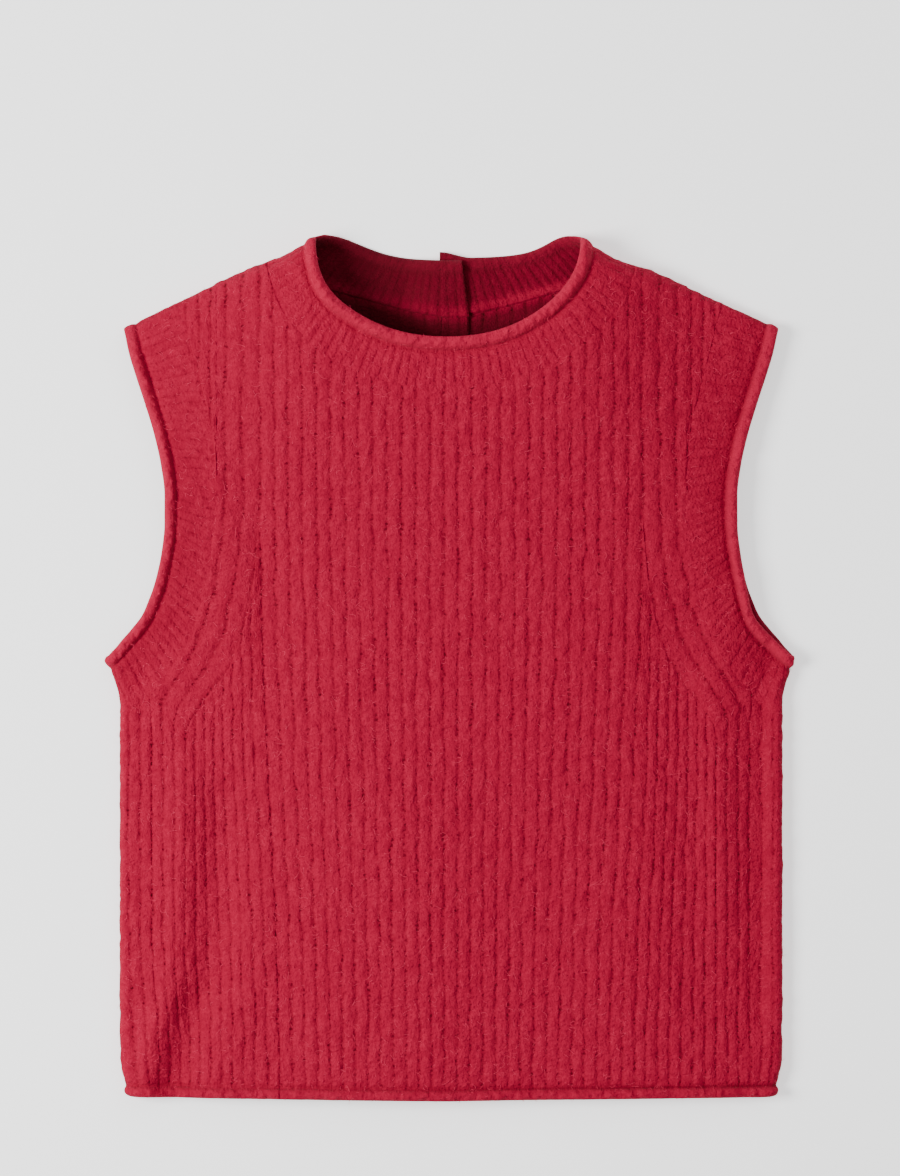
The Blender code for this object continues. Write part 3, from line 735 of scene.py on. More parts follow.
@dataclass(frozen=True)
class Rib:
    """Relief of one kind of ribbing."""

    depth: float
    roundness: float
    meander: float
    broken: float
    lumps: float
    crumple: float
    seed: int
    # weights of the quick meander, and of the lumps and broad waves in the unevenness
    quick_share: float = 0.6
    lump_share: float = 0.7
    wide_share: float = 0.5
    # grain across and up of each kind of noise, with its start: slow and quick meander, what
    # fills the grooves, lumps, broad waves and crumple
    scales: Table = (
        (7.0, 3.1, 14.0, 0.0), (4.0, 40.3, 6.0, 7.7), (5.0, 91.0, 6.5, 5.0),
        (5.0, 150.0, 4.6, 2.0), (26.0, 17.0, 30.0, 61.0), (2.7, 71.0, 3.1, 33.0),
    )

    def relief(self, wale: Array, x: Array, y: Array) -> tuple[Array, Array]:
        """Height of the ribbing, from 0 in a deep groove to 1 on a crest.

        Args:
            wale: count of ribs, whole in the grooves.
            x: places across.
            y: places up.

        Returns:
            The relief at each place, and the count of ribs with its sway.
        """
        noise = SoftNoise(self.seed)
        slow, quick, filling, lumps, wide, crumple = (
            noise.at(x / (across * MM) + start, y / (up * MM) + begin)
            for across, start, up, begin in self.scales
        )
        wale = wale + self.meander * (slow + self.quick_share * quick)
        t = wale - np.floor(wale)
        crest = 1.0 - np.abs(2.0 * t - 1.0) ** self.roundness
        filled = 1.0 - (1.0 - crest) * (1.0 - self.broken * (0.5 + 0.5 * filling))
        rough = self.lumps * (crest * self.lump_share * lumps + self.wide_share * wide)
        rough = rough + self.crumple * crumple
        return filled + rough, wale


def put(name: str, data: bpy.types.ID, at: Sizes = (0.0, 0.0, 0.0)) -> bpy.types.Object:
    """Put a new object in the scene.

    Args:
        name: the object's name.
        data: its mesh, lamp or camera.
        at: its place.

    Returns:
        The object.
    """
    ob = bpy.data.objects.new(name, data)
    ob.location = at
    bpy.context.scene.collection.objects.link(ob)
    return ob


def shape(
    name: str, points: list, faces: list, rounded: list[bool], material: bpy.types.Material
) -> bpy.types.Object:
    """Make a mesh object.

    Args:
        name: the object's name.
        points: its points.
        faces: its faces, by the numbers of their points.
        rounded: which faces are shaded smooth.
        material: its finish.

    Returns:
        The new object, in the scene.
    """
    mesh = bpy.data.meshes.new(name)
    mesh.from_pydata(points, [], faces)
    mesh.polygons.foreach_set("use_smooth", rounded)
    mesh.materials.append(material)
    return put(name, mesh)


@dataclass
class Patch:
    """A grid of cloth: rows run up it and columns across it."""

    # points of the outside and the inside
    outer: Array
    inner: Array
    # count of ribs, distance along them and share of the roll at each point
    wale: Array
    course: Array
    bead: Array
    # outward direction, and the painted shade of the inside
    normal: Array
    shade: Array
    # whether the grid closes on itself, and how many rows and columns the inside steps over
    ring: bool = False
    inner_step: tuple[int, int] = (3, 3)


class ClothMesh:
    """Collects patches of cloth into one mesh with a fine outside and a coarser inside."""

    def __init__(self) -> None:
        """Start empty."""
        self.points: list[Array] = []
        self.faces: list[tuple[int, ...]] = []
        self.knit: list[Array] = []
        self.shade: list[Array] = []
        self.rims: list[tuple[int, ...]] = []
        self.count = 0

    def _store(
        self, points: Array, patch: Patch, rows: Array, columns: Array, shade: Array
    ) -> Array:
        """Store the points at some rows and columns and return their indices.

        Args:
            points: one side of the patch.
            patch: the patch that they belong to.
            rows: which rows to keep.
            columns: which columns to keep.
            shade: the painted shade of the side.

        Returns:
            The points' indices, rows by columns.
        """
        pick = np.ix_(rows, columns)
        data = np.stack([patch.wale[pick], patch.course[pick], patch.bead[pick]], -1)
        self.points.append(points[pick].reshape(-1, 3))
        self.knit.append(data.reshape(-1, 3))
        self.shade.append(shade[pick].reshape(-1))
        index = self.count + np.arange(len(rows) * len(columns)).reshape(len(rows), len(columns))
        self.count += index.size
        return index

    @staticmethod
    def _coarse(count: int, step: int, ring: bool) -> Array:
        """Every few indices, with the last one unless the grid closes on itself.

        Args:
            count: how many there are.
            step: how many to step over at a time.
            ring: whether the grid closes on itself.

        Returns:
            The picked indices.
        """
        picked = list(range(0, count, step))
        if not ring and picked[-1] != count - 1:
            picked.append(count - 1)
        return np.array(picked)

    @staticmethod
    def _quads(index: Array, ring: bool) -> Array:
        """Faces of a grid of indices.

        Args:
            index: indices, rows by columns.
            ring: whether the grid closes on itself.

        Returns:
            Four indices for each face.
        """
        if ring:
            index = np.concatenate([index, index[:, :1]], 1)
        corners = (index[:-1, :-1], index[:-1, 1:], index[1:, 1:], index[1:, :-1])
        return np.stack([c.reshape(-1) for c in corners], -1)

    def _rim(self, fine: Array, coarse: Array, picked: Array, forward: bool) -> None:
        """Close the gap between a fine edge and a coarse one with one face a step.

        Args:
            fine: indices along the fine edge.
            coarse: indices along the coarse edge.
            picked: places on the fine edge that the coarse indices stand at.
            forward: which way round the faces go.
        """
        for k in range(len(picked) - 1):
            edge = list(fine[picked[k] : picked[k + 1] + 1])
            if forward:
                self.rims.append((*edge, coarse[k + 1], coarse[k]))
            else:
                self.rims.append((*edge[::-1], coarse[k], coarse[k + 1]))

    def add(self, patch: Patch) -> None:
        """Add a patch as a closed shell.

        Args:
            patch: the patch, which may be turned over.
        """
        count = patch.outer.shape[:2]
        middle = count[0] // 2
        across = patch.outer[middle, 1:] - patch.outer[middle, :-1]
        up = patch.outer[middle + 1, :-1] - patch.outer[middle, :-1]
        facing = np.einsum("ij,ij->i", np.cross(across, up), patch.normal[middle, :-1]).sum()
        if facing < 0.0:
            for name in ("outer", "inner", "wale", "course", "bead", "normal", "shade"):
                setattr(patch, name, getattr(patch, name)[:, ::-1])
        all_rows, all_columns = np.arange(count[0]), np.arange(count[1])
        rows = self._coarse(count[0], patch.inner_step[0], ring=False)
        columns = self._coarse(count[1], patch.inner_step[1], patch.ring)
        # the outside gets no painted shade
        lit = np.ones(count)
        fine = self._store(patch.outer, patch, all_rows, all_columns, lit)
        coarse = self._store(patch.inner, patch, rows, columns, patch.shade)
        self.faces.extend(map(tuple, self._quads(fine, patch.ring).tolist()))
        self.faces.extend(map(tuple, self._quads(coarse, patch.ring)[:, ::-1].tolist()))
        if patch.ring:
            fine = np.concatenate([fine, fine[:, :1]], 1)
            coarse = np.concatenate([coarse, coarse[:, :1]], 1)
            columns = np.append(columns, count[1])
        self._rim(fine[0], coarse[0], columns, forward=False)
        self._rim(fine[-1], coarse[-1], columns, forward=True)
        if not patch.ring:
            self._rim(fine[:, 0], coarse[:, 0], rows, forward=True)
            self._rim(fine[:, -1], coarse[:, -1], rows, forward=False)

    def build(self, name: str, material: bpy.types.Material) -> bpy.types.Object:
        """Make the object.

        Args:
            name: the piece's name.
            material: its finish.

        Returns:
            The new object, in the scene.
        """
        points = np.concatenate(self.points).tolist()
        rounded = [True] * len(self.faces) + [False] * len(self.rims)
        ob = shape(name, points, self.faces + self.rims, rounded, material)
        knit = ob.data.attributes.new("knit", "FLOAT_VECTOR", "POINT")
        knit.data.foreach_set("vector", np.concatenate(self.knit).astype(np.float32).ravel())
        shade = ob.data.attributes.new("shade", "FLOAT", "POINT")
        shade.data.foreach_set("value", np.concatenate(self.shade).astype(np.float32))
        return ob


@dataclass(frozen=True)
class Grain:
    """Size and kind of one unevenness of a surface."""

    scale: float
    detail: float = 2.0
    rough: float = 0.55
    distortion: float = 0.0
    # share of its length at which it is measured up the garment: less than 1 draws it out
    drawn: float = 1.0


def operator(operation: str, turned: bool = False) -> Callable[["Value", Socket], "Value"]:
    """Make an arithmetic method of a value socket.

    Args:
        operation: what its Math node does.
        turned: whether the other value comes first.

    Returns:
        The method.
    """

    def method(value: "Value", other: Socket) -> "Value":
        """Add the Math node."""
        return value.maths(operation, *((other, value) if turned else (value, other)))

    return method


class Value:
    """A value socket that can be used in arithmetic."""

    def __init__(self, tree: "Shader", socket: bpy.types.NodeSocket) -> None:
        """Wrap an output socket."""
        self.tree = tree
        self.socket = socket

    def maths(self, operation: str, *inputs: Socket) -> "Value":
        """Add a Math node."""
        return self.tree.node("ShaderNodeMath", {"operation": operation}, dict(enumerate(inputs)))

    __add__ = __radd__ = operator("ADD")
    __sub__, __rsub__ = operator("SUBTRACT"), operator("SUBTRACT", turned=True)
    __mul__ = __rmul__ = operator("MULTIPLY")
    __truediv__ = operator("DIVIDE")

    def __abs__(self) -> "Value":
        """Size without its sign."""
        return self.maths("ABSOLUTE", self)

    def fraction(self) -> "Value":
        """Part past the whole number."""
        return self.maths("FRACT", self)

    def wave(self) -> "Value":
        """Sine with a period of 1, from 0 to 1."""
        return self.maths("SINE", self * math.tau) * 0.5 + 0.5

    def step(self, low: float, high: float) -> "Value":
        """Ease from 0 at low to 1 at high."""
        return self.tree.node(
            "ShaderNodeMapRange",
            {"interpolation_type": "SMOOTHSTEP"},
            {"Value": self, "From Min": low, "From Max": high},
        )


class Shader:
    """Builds one material's nodes."""

    # places of a Mix node's colours and of the mixed colour among its sockets
    MIX_LOW, MIX_HIGH, MIX_RESULT = 6, 7, 2

    def __init__(self, name: str) -> None:
        """Start a material with a Principled shader.

        Args:
            name: the material's name.
        """
        self.material = bpy.data.materials.new(name)
        self.material.use_nodes = True
        self.nodes = self.material.node_tree.nodes
        self.links = self.material.node_tree.links
        self.surface = self.nodes["Principled BSDF"]

    def _set(self, socket: bpy.types.NodeSocket, value: Socket) -> None:
        """Link a wrapped socket or store a plain value.

        Args:
            socket: the socket to feed.
            value: what to feed it.
        """
        if isinstance(value, Value):
            self.links.new(value.socket, socket)
        else:
            socket.default_value = value

    def node(
        self,
        kind: str,
        settings: dict[str, object] | None = None,
        inputs: dict[str | int, Socket] | None = None,
        output: str | int = 0,
    ) -> Value:
        """Add a node.

        Args:
            kind: the node's type.
            settings: its properties, set before its sockets.
            inputs: values or links for its sockets, by name or number.
            output: the output that is wanted.

        Returns:
            That output, wrapped.
        """
        made = self.nodes.new(kind)
        for name, value in (settings or {}).items():
            setattr(made, name, value)
        for name, value in (inputs or {}).items():
            self._set(made.inputs[name], value)
        return Value(self, made.outputs[output])

    def attribute(self, name: str, output: str) -> Value:
        """Read a mesh attribute."""
        return self.node("ShaderNodeAttribute", {"attribute_name": name}, output=output)

    def parts(self, vector: Value) -> tuple[Value, Value, Value]:
        """Split a vector."""
        made = self.node("ShaderNodeSeparateXYZ", inputs={"Vector": vector}).socket.node
        return tuple(Value(self, made.outputs[k]) for k in range(3))

    def joined(self, x: Socket, y: Socket, z: Socket) -> Value:
        """Join three values into a vector."""
        return self.node("ShaderNodeCombineXYZ", inputs={0: x, 1: y, 2: z})

    def noise(self, place: Value, grain: Grain) -> Value:
        """Add an unevenness.

        Args:
            place: where on the surface.
            grain: its size and kind.

        Returns:
            The unevenness, from 0 to 1.
        """
        if grain.drawn != 1.0:
            x, y, z = self.parts(place)
            place = self.joined(x, y * grain.drawn, z)
        inputs = {
            "Vector": place,
            "Scale": grain.scale,
            "Detail": grain.detail,
            "Roughness": grain.rough,
            "Distortion": grain.distortion,
        }
        return self.node("ShaderNodeTexNoise", inputs=inputs)

    def colour(self, share: Socket, low: Socket, high: Socket) -> Value:
        """Mix two colours.

        Args:
            share: share of the second colour.
            low: the first colour.
            high: the second colour.

        Returns:
            The mixed colour.
        """
        inputs = {"Factor": share, self.MIX_LOW: low, self.MIX_HIGH: high}
        return self.node("ShaderNodeMix", {"data_type": "RGBA"}, inputs, self.MIX_RESULT)

    def finish(self, **inputs: Socket) -> bpy.types.Material:
        """Set the surface's sockets, whose names are written with underscores.

        Args:
            **inputs: a value or link for each named socket.

        Returns:
            The material.
        """
        for name, value in inputs.items():
            self._set(self.surface.inputs[name.replace("_", " ")], value)
        return self.material


@dataclass(frozen=True)
class Yarn:
    """Brushed wool yarn knitted into ribs."""

    name: str
    # deep is the colour of painted shade in grooves, creases and beside rolls, and of the yarn's
    # own darker places
    deep: Sizes = (0.115, 0.0008, 0.007, 1.0)
    body: Sizes = (0.340, 0.0042, 0.0305, 1.0)
    light: Sizes = (0.60, 0.022, 0.070, 1.0)
    # inside is the near-black of the painted shade inside the garment
    inside: Sizes = (0.006, 0.0, 0.0, 1.0)
    # height of a stitch, and of the bump
    course: float = 3.4 * MM
    stitch_bump: float = 1.1 * MM
    # strengths of the painted shade in the grooves, a paler roll, the painted shade in the crease
    # behind a roll and the softer painted shade beside it
    groove: float = 1.0
    pale_roll: float = 0.0
    crease: float = 0.5
    roll_shade: float = 0.0
    # what the painted crease shade is multiplied by at the wearer's right, and what the left adds
    crease_growth: Sizes = (1.6, 4.4)
    fine_grain: Grain = Grain(430.0, 3.0, 0.65)
    clump_grain: Grain = Grain(170.0, 3.0, 0.6)
    patch_grain: Grain = Grain(75.0, 3.0, 0.6)
    knot_grain: Grain = Grain(720.0, rough=0.6)
    dash_grain: Grain = Grain(240.0, drawn=0.7)
    run_grain: Grain = Grain(120.0, drawn=0.5)
    fleck_grain: Grain = Grain(340.0, rough=0.7, drawn=0.65)
    # streaks run along the ribs: their size across a rib and along it
    streak_grain: Grain = Grain(520.0, rough=0.6)
    streak_size: Sizes = (0.0086, 0.3)
    curl_grain: Grain = Grain(430.0, rough=0.5, distortion=2.2, drawn=0.7)
    # half-width over which the light changes from the wearer's right to the left
    light_half: float = 0.2
    # distances from a band's rolled edge between which the painted shade beside the roll fades
    hollow_fade: Sizes = (12.0 * MM, 38.0 * MM)
    # heights between which that painted shade fades out towards the wearer's right shoulder
    bright_from: Sizes = (0.10, 0.22)

    def material(self) -> bpy.types.Material:
        """Make the finish: stitches, fibres, painted shade in grooves and creases, and stray pale
        hairs.

        Returns:
            The finish.
        """
        s = Shader(self.name)
        wale, along, bead = s.parts(s.attribute("knit", "Vector"))
        shade = s.attribute("shade", "Fac")
        flat = 1.0 - bead
        lit = shade.step(0.0, 0.55)
        place = s.node("ShaderNodeTexCoord", output="Object")
        x, y, _ = s.parts(place)
        fine = s.noise(place, self.fine_grain)
        clumps = s.noise(place, self.clump_grain)
        across, up = self.streak_size
        streak = s.noise(s.joined(wale * across, along * up, 0.0), self.streak_grain)

        # painted shade in the grooves: a soft dark, and spots of deeper dark in dashes
        edge = abs(wale.fraction() - 0.5) * 2.0
        dashes = s.noise(place, self.dash_grain).step(0.42, 0.60)
        runs = s.noise(place, self.run_grain).step(0.40, 0.60)
        soft = (edge + (fine - 0.5) * 1.0 + (clumps - 0.5) * 0.9).step(0.52, 1.0)
        course = along / self.course + (fine - 0.5) * 1.4
        ticks = course.wave().step(0.3, 0.8) * 0.7 + 0.3
        spots = (edge + (fine - 0.5) * 1.7).step(0.82, 1.06) * (dashes * 0.85 + 0.15) * ticks
        within = 1.0 - shade.step(0.6, 0.9)
        dark = (soft * (runs * 0.18 + 0.20) + spots * 0.64) * flat * self.groove * lit
        # painted shade in the grooves of the ribs on the inside
        dark = dark + (edge + (clumps - 0.5) * 0.8).step(0.2, 1.0) * within * shade * 0.5

        # stray strands, and the height of stitches and fibres
        leg = (course + edge * 0.55).wave() * flat
        knots = s.noise(place, self.knot_grain)
        curl = s.noise(place, self.curl_grain)
        patchy = s.noise(place, self.patch_grain)
        strand = (1.0 - (abs(curl - 0.5) * 18.0).step(0.0, 1.0)) * (patchy + clumps).step(0.86, 1.2)
        height = leg * 0.12 + knots * 0.6 + fine * 1.2 + clumps * 0.8 + streak * 0.5 - dark * 0.7
        bump = s.node(
            "ShaderNodeBump",
            inputs={"Strength": 1.0, "Distance": self.stitch_bump, "Height": height},
        )

        # painted shade in the grooves, the yarn's own darker places, and painted shade in the
        # crease behind a roll, stronger towards the wearer's left
        tone = s.colour(dark, self.body, self.deep)
        mottle = (fine * 0.45 + streak * 0.3 + clumps * 0.25).step(0.40, 0.60)
        tone = s.colour((1.0 - mottle) * 0.14, tone, self.deep)
        to_right = (x + self.light_half).step(0.0, 2.0 * self.light_half)
        least, more = self.crease_growth
        crease_shade = bead * flat * self.crease * (to_right * more + least)
        tone = s.colour(crease_shade, tone, self.deep)

        # paler fibres and strands, and flecks of both
        high = (knots * 0.5 + fine * 0.3 + streak * 0.2).step(0.52, 0.72)
        tone = s.colour(high * 0.20 + strand * 0.28, tone, self.light)
        flecks = s.noise(place, self.fleck_grain)
        near = (edge * 0.5 + 0.5) * flat
        tone = s.colour(flecks.step(0.58, 0.66) * near * near * 0.34 * lit, tone, self.deep)
        tone = s.colour((1.0 - flecks.step(0.33, 0.42)) * near * 0.20, tone, self.light)
        low = (1.0 - patchy * 0.5 - clumps * 0.5).step(0.46, 0.70) * 0.08
        tone = s.colour(low, tone, self.deep)

        # painted shade beside a roll, the roll itself, and painted shade inside the garment
        beside = flat * (1.0 - along.step(*self.hollow_fade))
        bright_corner = y.step(*self.bright_from) * (1.0 - to_right)
        tone = s.colour(beside * (1.0 - bright_corner) * self.roll_shade, tone, self.deep)
        tone = s.colour(bead * self.pale_roll, tone, self.light)
        tone = s.colour(1.0 - shade, tone, self.inside)
        return s.finish(
            Base_Color=tone,
            Normal=bump,
            Roughness=0.95,
            Sheen_Weight=0.08,
            Sheen_Roughness=0.4,
            Sheen_Tint=(1.0, 0.25, 0.3, 1.0),
            Specular_IOR_Level=0.08,
        )


BODY_RIB = Rib(
    depth=1.05 * MM, roundness=2.3, meander=0.11, broken=0.85, lumps=0.36, crumple=0.22, seed=11
)
BAND_RIB = Rib(
    depth=0.66 * MM, roundness=2.2, meander=0.12, broken=0.75, lumps=0.36, crumple=0.2, seed=23
)


@dataclass
class Panel:
    """A front or back panel of upright ribs, some of which turn to follow the armhole."""

    form: Form
    face: Face
    lap: Lap = Lap.NONE
    rib: Rib = BODY_RIB
    edge: RolledEdge = RolledEdge()
    # points across a wale, distance of the rows and the fewest of them
    samples: int = 7
    row_step: float = 2.4 * MM
    least_rows: int = 4
    # distances of the last rows from the top, in millimetres, and the room before them
    last_rows: Sizes = (1.7, 1.0, 0.45, 0.12)
    row_gap: float = 0.5 * MM
    # ribs in the middle, and in each part between the middle and a side
    middle_wales: int = 27
    wedge_wales: int = 8
    strip_wales: int = 3
    side_wales: int = 3
    yoke_wales: int = 3
    # half-width of the middle at the hem and at the top, and of the armhole strip at the hem
    middle_half: float = 116.0 * MM
    middle_top_half: float = 129.5 * MM
    strip_half: Sizes = (180.0 * MM, 203.0 * MM)
    # height at which the strip turns to follow the armhole, and over how much it does
    strip_bend: float = 246.0 * MM
    strip_ease: float = 36.0 * MM
    # heights at which it stops leaning, and at which the armhole seam lets go of it
    apex: float = 401.0 * MM
    narrow: float = 412.0 * MM
    # reach past a border and the tuck there, with the shares of them at the columns past it
    over: float = 1.2 * MM
    tuck: float = 0.3 * MM
    over_shares: Sizes = (0.5, 1.0)
    tuck_shares: Sizes = (0.04, 1.0)
    # relief at which a rib is level with the wall, and the share of it that the inside shows
    rib_middle: float = 0.62
    inside_rib: float = 0.4
    inner_step: tuple[int, int] = (4, 7)
    # the armhole seam's share that the side's wales end on, the one that the yoke starts on and
    # the yoke's gap at its outer end
    low_seam: float = 0.12
    high_seam: float = 0.52
    yoke_gap: float = 0.012
    # part of a wale that the strip loses along the armhole seam
    lost_wale: float = 0.5
    # distance over which the strip leaves the seam, and the shares of its last rows
    free_reach: float = 10.0 * MM
    last_shares: Sizes = (0.992, 0.997, 1.0)
    # rows along the bend, and points of the lines that are read
    bend_rows: int = 75
    line_points: int = 200
    inner_points: int = 400
    seam_points: int = 1200
    # height and half-width of the inner side of the wales that follow the armhole
    strip_rows: Table = (
        (246.0, 180.0), (256.0, 178.0), (268.0, 170.5), (282.0, 159.5),
        (300.6, 148.0), (347.0, 135.0), (401.0, 129.5),
    )

    def heights(self, low: float, high: float) -> Array:
        """Shares of a column's height for its rows, close together at the hem's roll.

        Args:
            low: height of the column's foot.
            high: height of its top.

        Returns:
            The shares, from 0 to 1.
        """
        stops = self.edge.stops() if low == 0.0 else np.array([0.0])
        start = stops[-1]
        count = max(int((high - low - start) / self.row_step), self.least_rows)
        rest = np.linspace(start, high - low, count + 1)[1:]
        last = rest[-1] - np.array(self.last_rows) * MM
        early = rest[:-1][rest[:-1] < last[0] - self.row_gap]
        rest = np.concatenate([early, last, rest[-1:]])
        return np.concatenate([stops, rest]) / (high - low)

    def top(self, x: Array) -> Array:
        """Height at which the panel ends at a place across."""
        return self.form.top_of_front(x) if self.face is Face.FRONT else self.form.top_of_back(x)

    def dress(
        self, x: Array, y: Array, wale: Array, s_top: Array, tuck: Array | float = 0.0
    ) -> Patch:
        """Give plan points their walls and ribs.

        Args:
            x: places across, rows by columns.
            y: places up from the hem.
            wale: count of ribs at each place.
            s_top: distance from the seam at the rows' ends.
            tuck: how far the border lies under its neighbour.

        Returns:
            The finished patch.
        """
        form = self.form
        front = self.face is Face.FRONT
        middle, normal = form.lay(form.drifted(x, y) if front else x, y, self.face, self.lap)
        share = form.side_keep(normal) * (1.0 if front else form.back_roll_share)
        bead = self.edge.bead(y)
        relief, swayed = self.rib.relief(wale, x, y)
        rise = (self.edge.outer(y) * (1.0 + self.edge.unevenness(x, y)) - form.wall) * share
        ribs = self.rib.depth * (relief - self.rib_middle) * (1.0 - bead) * self.edge.past(y)
        ribs, seam = SEAM.sewn(ribs, s_top)
        inside = form.wall / 2.0 - self.edge.inner(y)
        if not front:
            inside = inside + self.inside_rib * ribs
        outer, inner = walls(
            middle, normal, rise, form.wall / 2.0 + rise + ribs + seam - tuck, inside
        )
        return Patch(
            outer=outer,
            inner=inner,
            wale=swayed,
            course=y,
            bead=bead,
            normal=normal,
            # painted shade on the inside of the cloth
            shade=PAINTED_INSIDE_SHADE.at(x, form.wall if front else s_top),
            inner_step=self.inner_step,
        )

    def columns(
        self,
        x_hem: Array,
        x_top: Array,
        y_low: Array,
        y_top: Array,
        wale: Array,
        tuck: Array | float = 0.0,
    ) -> Patch:
        """Patch of upright wales.

        Args:
            x_hem: place across of each column at its foot.
            x_top: the same where the panel's lean ends.
            y_low: height of each column's foot.
            y_top: height of its top.
            wale: count of ribs at each column.
            tuck: how far each column lies under its neighbour.

        Returns:
            The finished patch.
        """
        share = self.heights(float(y_low.min()), float(y_top.max()))[:, None]
        y = y_low + (y_top - y_low) * share
        lean = smooth(y / np.minimum(y_top, self.apex))
        x = x_hem + (x_top - x_hem) * lean
        tall = y_top - y_low
        end = tall * (1.0 - share)
        if y_low.max() > 0.0:
            end = np.minimum(end, tall * share)
        return self.dress(x, y, wale + 0.0 * x, end, tuck)

    def shares(self, wales: int, width: float) -> tuple[Array, Array]:
        """Shares across some wales, a little past both of their borders, and their tuck.

        Args:
            wales: how many wales there are.
            width: their width together.

        Returns:
            The shares, and how far each column lies under its neighbour.
        """
        inside = np.linspace(0.0, 1.0, wales * self.samples + 1)
        past = self.over / width * np.array(self.over_shares)
        tuck = self.tuck * np.array(self.tuck_shares)
        u = np.concatenate([-past[::-1], inside, 1.0 + past])
        return u, np.concatenate([tuck[::-1], 0.0 * inside, tuck])

    def middle(self, low: float | None, high: float | None) -> Patch:
        """Wales that run from the hem to the neck, between the wedges or from one to the opening.

        Args:
            low: place across where they start, or None at the wedge.
            high: place across where they end, or None at the wedge.

        Returns:
            The finished patch.
        """
        (left, right), (left_top, right_top) = (
            (-half if low is None else low, half if high is None else high)
            for half in (self.middle_half, self.middle_top_half)
        )
        count = round(self.middle_wales * (right - left) / (2.0 * self.middle_half))
        u, tuck = self.shares(count, right - left)
        x_hem = left + (right - left) * u
        x_top = left_top + (right_top - left_top) * u
        wale = u * count + (0 if low is None else self.middle_wales - count)
        return self.columns(x_hem, x_top, 0.0 * u, self.top(x_top), wale, tuck)

    def counted(self, side: float, outward: Array) -> Array:
        """Count of ribs at some wales outward from the middle's border."""
        return -outward if side < 0.0 else self.middle_wales + outward

    def wedge(self, side: float) -> Patch:
        """Wales between the middle and the armhole strip, which end on the strip.

        Args:
            side: -1 on the left and 1 on the right.

        Returns:
            The finished patch.
        """
        u = np.linspace(0.0, 1.0, self.wedge_wales * self.samples + 1)
        outer = self.strip_half[0]
        x_hem = outer + (self.middle_half - outer) * u
        x_top = outer + (self.middle_top_half - outer) * u
        rows = np.array(self.strip_rows) * MM
        ends = np.linspace(rows[0, 0], rows[-1, 0], self.line_points)
        halves = through(self.strip_rows, ends)
        y_top = np.interp(-x_top, -halves, ends)
        wale = self.counted(side, self.wedge_wales * (1.0 - u))
        return self.columns(side * x_hem, side * x_top, 0.0 * u, y_top, wale)

    def side_strip(self, side: float) -> Patch:
        """Wales beside the side fold, which end on the lowest part of the armhole seam.

        Args:
            side: -1 on the left and 1 on the right.

        Returns:
            The finished patch.
        """
        form = self.form
        inner, radius = self.strip_half[1], form.fold_radius
        plan = form.chest_half - form.wall / 2.0 - inner
        u = np.linspace(0.0, 1.0, self.side_wales * self.samples + 1)
        cloth = (1.0 - u) * (plan + radius * (math.pi / 2.0 - 1.0))
        bent = radius * (1.0 - np.cos(np.minimum(cloth / radius, math.pi / 2.0)))
        flat = cloth - radius * (math.pi / 2.0 - 1.0)
        wrapped = np.where(cloth < radius * math.pi / 2.0, bent, flat) / plan
        line = form.armhole_seam(np.linspace(0.0, self.low_seam, self.line_points), 1.0)
        x_top = line[0, 0] + (inner - line[0, 0]) * wrapped
        y_top = np.interp(-x_top, -line[:, 0], line[:, 1])
        share = self.heights(0.0, float(y_top.max()))[:, None]
        y = y_top * share
        outer = form.side_half(y) - form.wall / 2.0
        x = side * (outer + (inner - outer) * wrapped)
        past = self.wedge_wales + self.strip_wales
        wale = self.counted(side, past + self.side_wales * u) + 0.0 * x
        return self.dress(x, y, wale, y_top * (1.0 - share))

    def yoke(self, side: float) -> Patch:
        """Short wales above the armhole strip, which start on the armhole seam.

        Args:
            side: -1 on the left and 1 on the right.

        Returns:
            The finished patch.
        """
        form = self.form
        u = np.linspace(self.yoke_gap, 1.0, self.yoke_wales * self.samples + 1)
        line = form.armhole_seam(np.linspace(self.high_seam, 1.0, self.line_points), 1.0)
        high, low = line[-1, 0], through(form.armhole_seam_rows, np.array(self.narrow))
        x = high + (low - high) * u
        y_low = np.interp(x, line[:, 0], line[:, 1])
        past = self.wedge_wales + self.strip_wales - self.lost_wale
        wale = self.counted(side, past + self.yoke_wales * (1.0 - u))
        return self.columns(side * x, side * x, y_low, self.top(side * x), wale)

    def strip(self, side: float) -> Patch:
        """Wales that run up from the hem, follow the lower armhole and reach the shoulder.

        Args:
            side: -1 on the left and 1 on the right.

        Returns:
            The finished patch.
        """
        form = self.form
        rows = np.array(form.armhole_seam_rows) * MM
        dense = form.armhole_seam(np.linspace(0.0, 1.0, self.seam_points), 1.0)
        dense = dense[dense[:, 1] <= self.narrow]
        dense = dense[dense[:, 0] <= self.strip_half[1]]
        hem = self.heights(0.0, float(dense[0, 1]))
        stops = self.edge.stops().size
        turn = smooth((np.arange(hem.size) - stops) / (hem.size - stops))
        y_outer = hem * dense[0, 1]
        y_inner = y_outer * (1.0 - turn) + hem * self.strip_bend * turn
        outer_side = np.stack([np.full(hem.size, self.strip_half[1]), y_outer], -1)
        inner_side = np.stack([np.full(hem.size, self.strip_half[0]), y_inner], -1)
        bend = np.linspace(0.0, 1.0, self.bend_rows + 1)[1:]
        outer_arm = self.along(dense, bend)
        ends = np.linspace(self.strip_bend, self.apex, self.inner_points)
        inner_arm = self.along(np.stack([through(self.strip_rows, ends), ends], -1), bend)
        start_outer, start_inner = outer_arm[-1], inner_arm[-1]
        top_outer = np.array([start_outer[0], self.top(side * start_outer[:1])[0]])
        top_inner = np.array([start_inner[0], self.top(side * start_inner[:1])[0]])
        count = int((top_outer[1] - start_outer[1]) / self.row_step)
        up = np.concatenate([np.linspace(0.0, 1.0, count)[1:-1], self.last_shares])[:, None]
        outer_up = start_outer + (top_outer - start_outer) * up
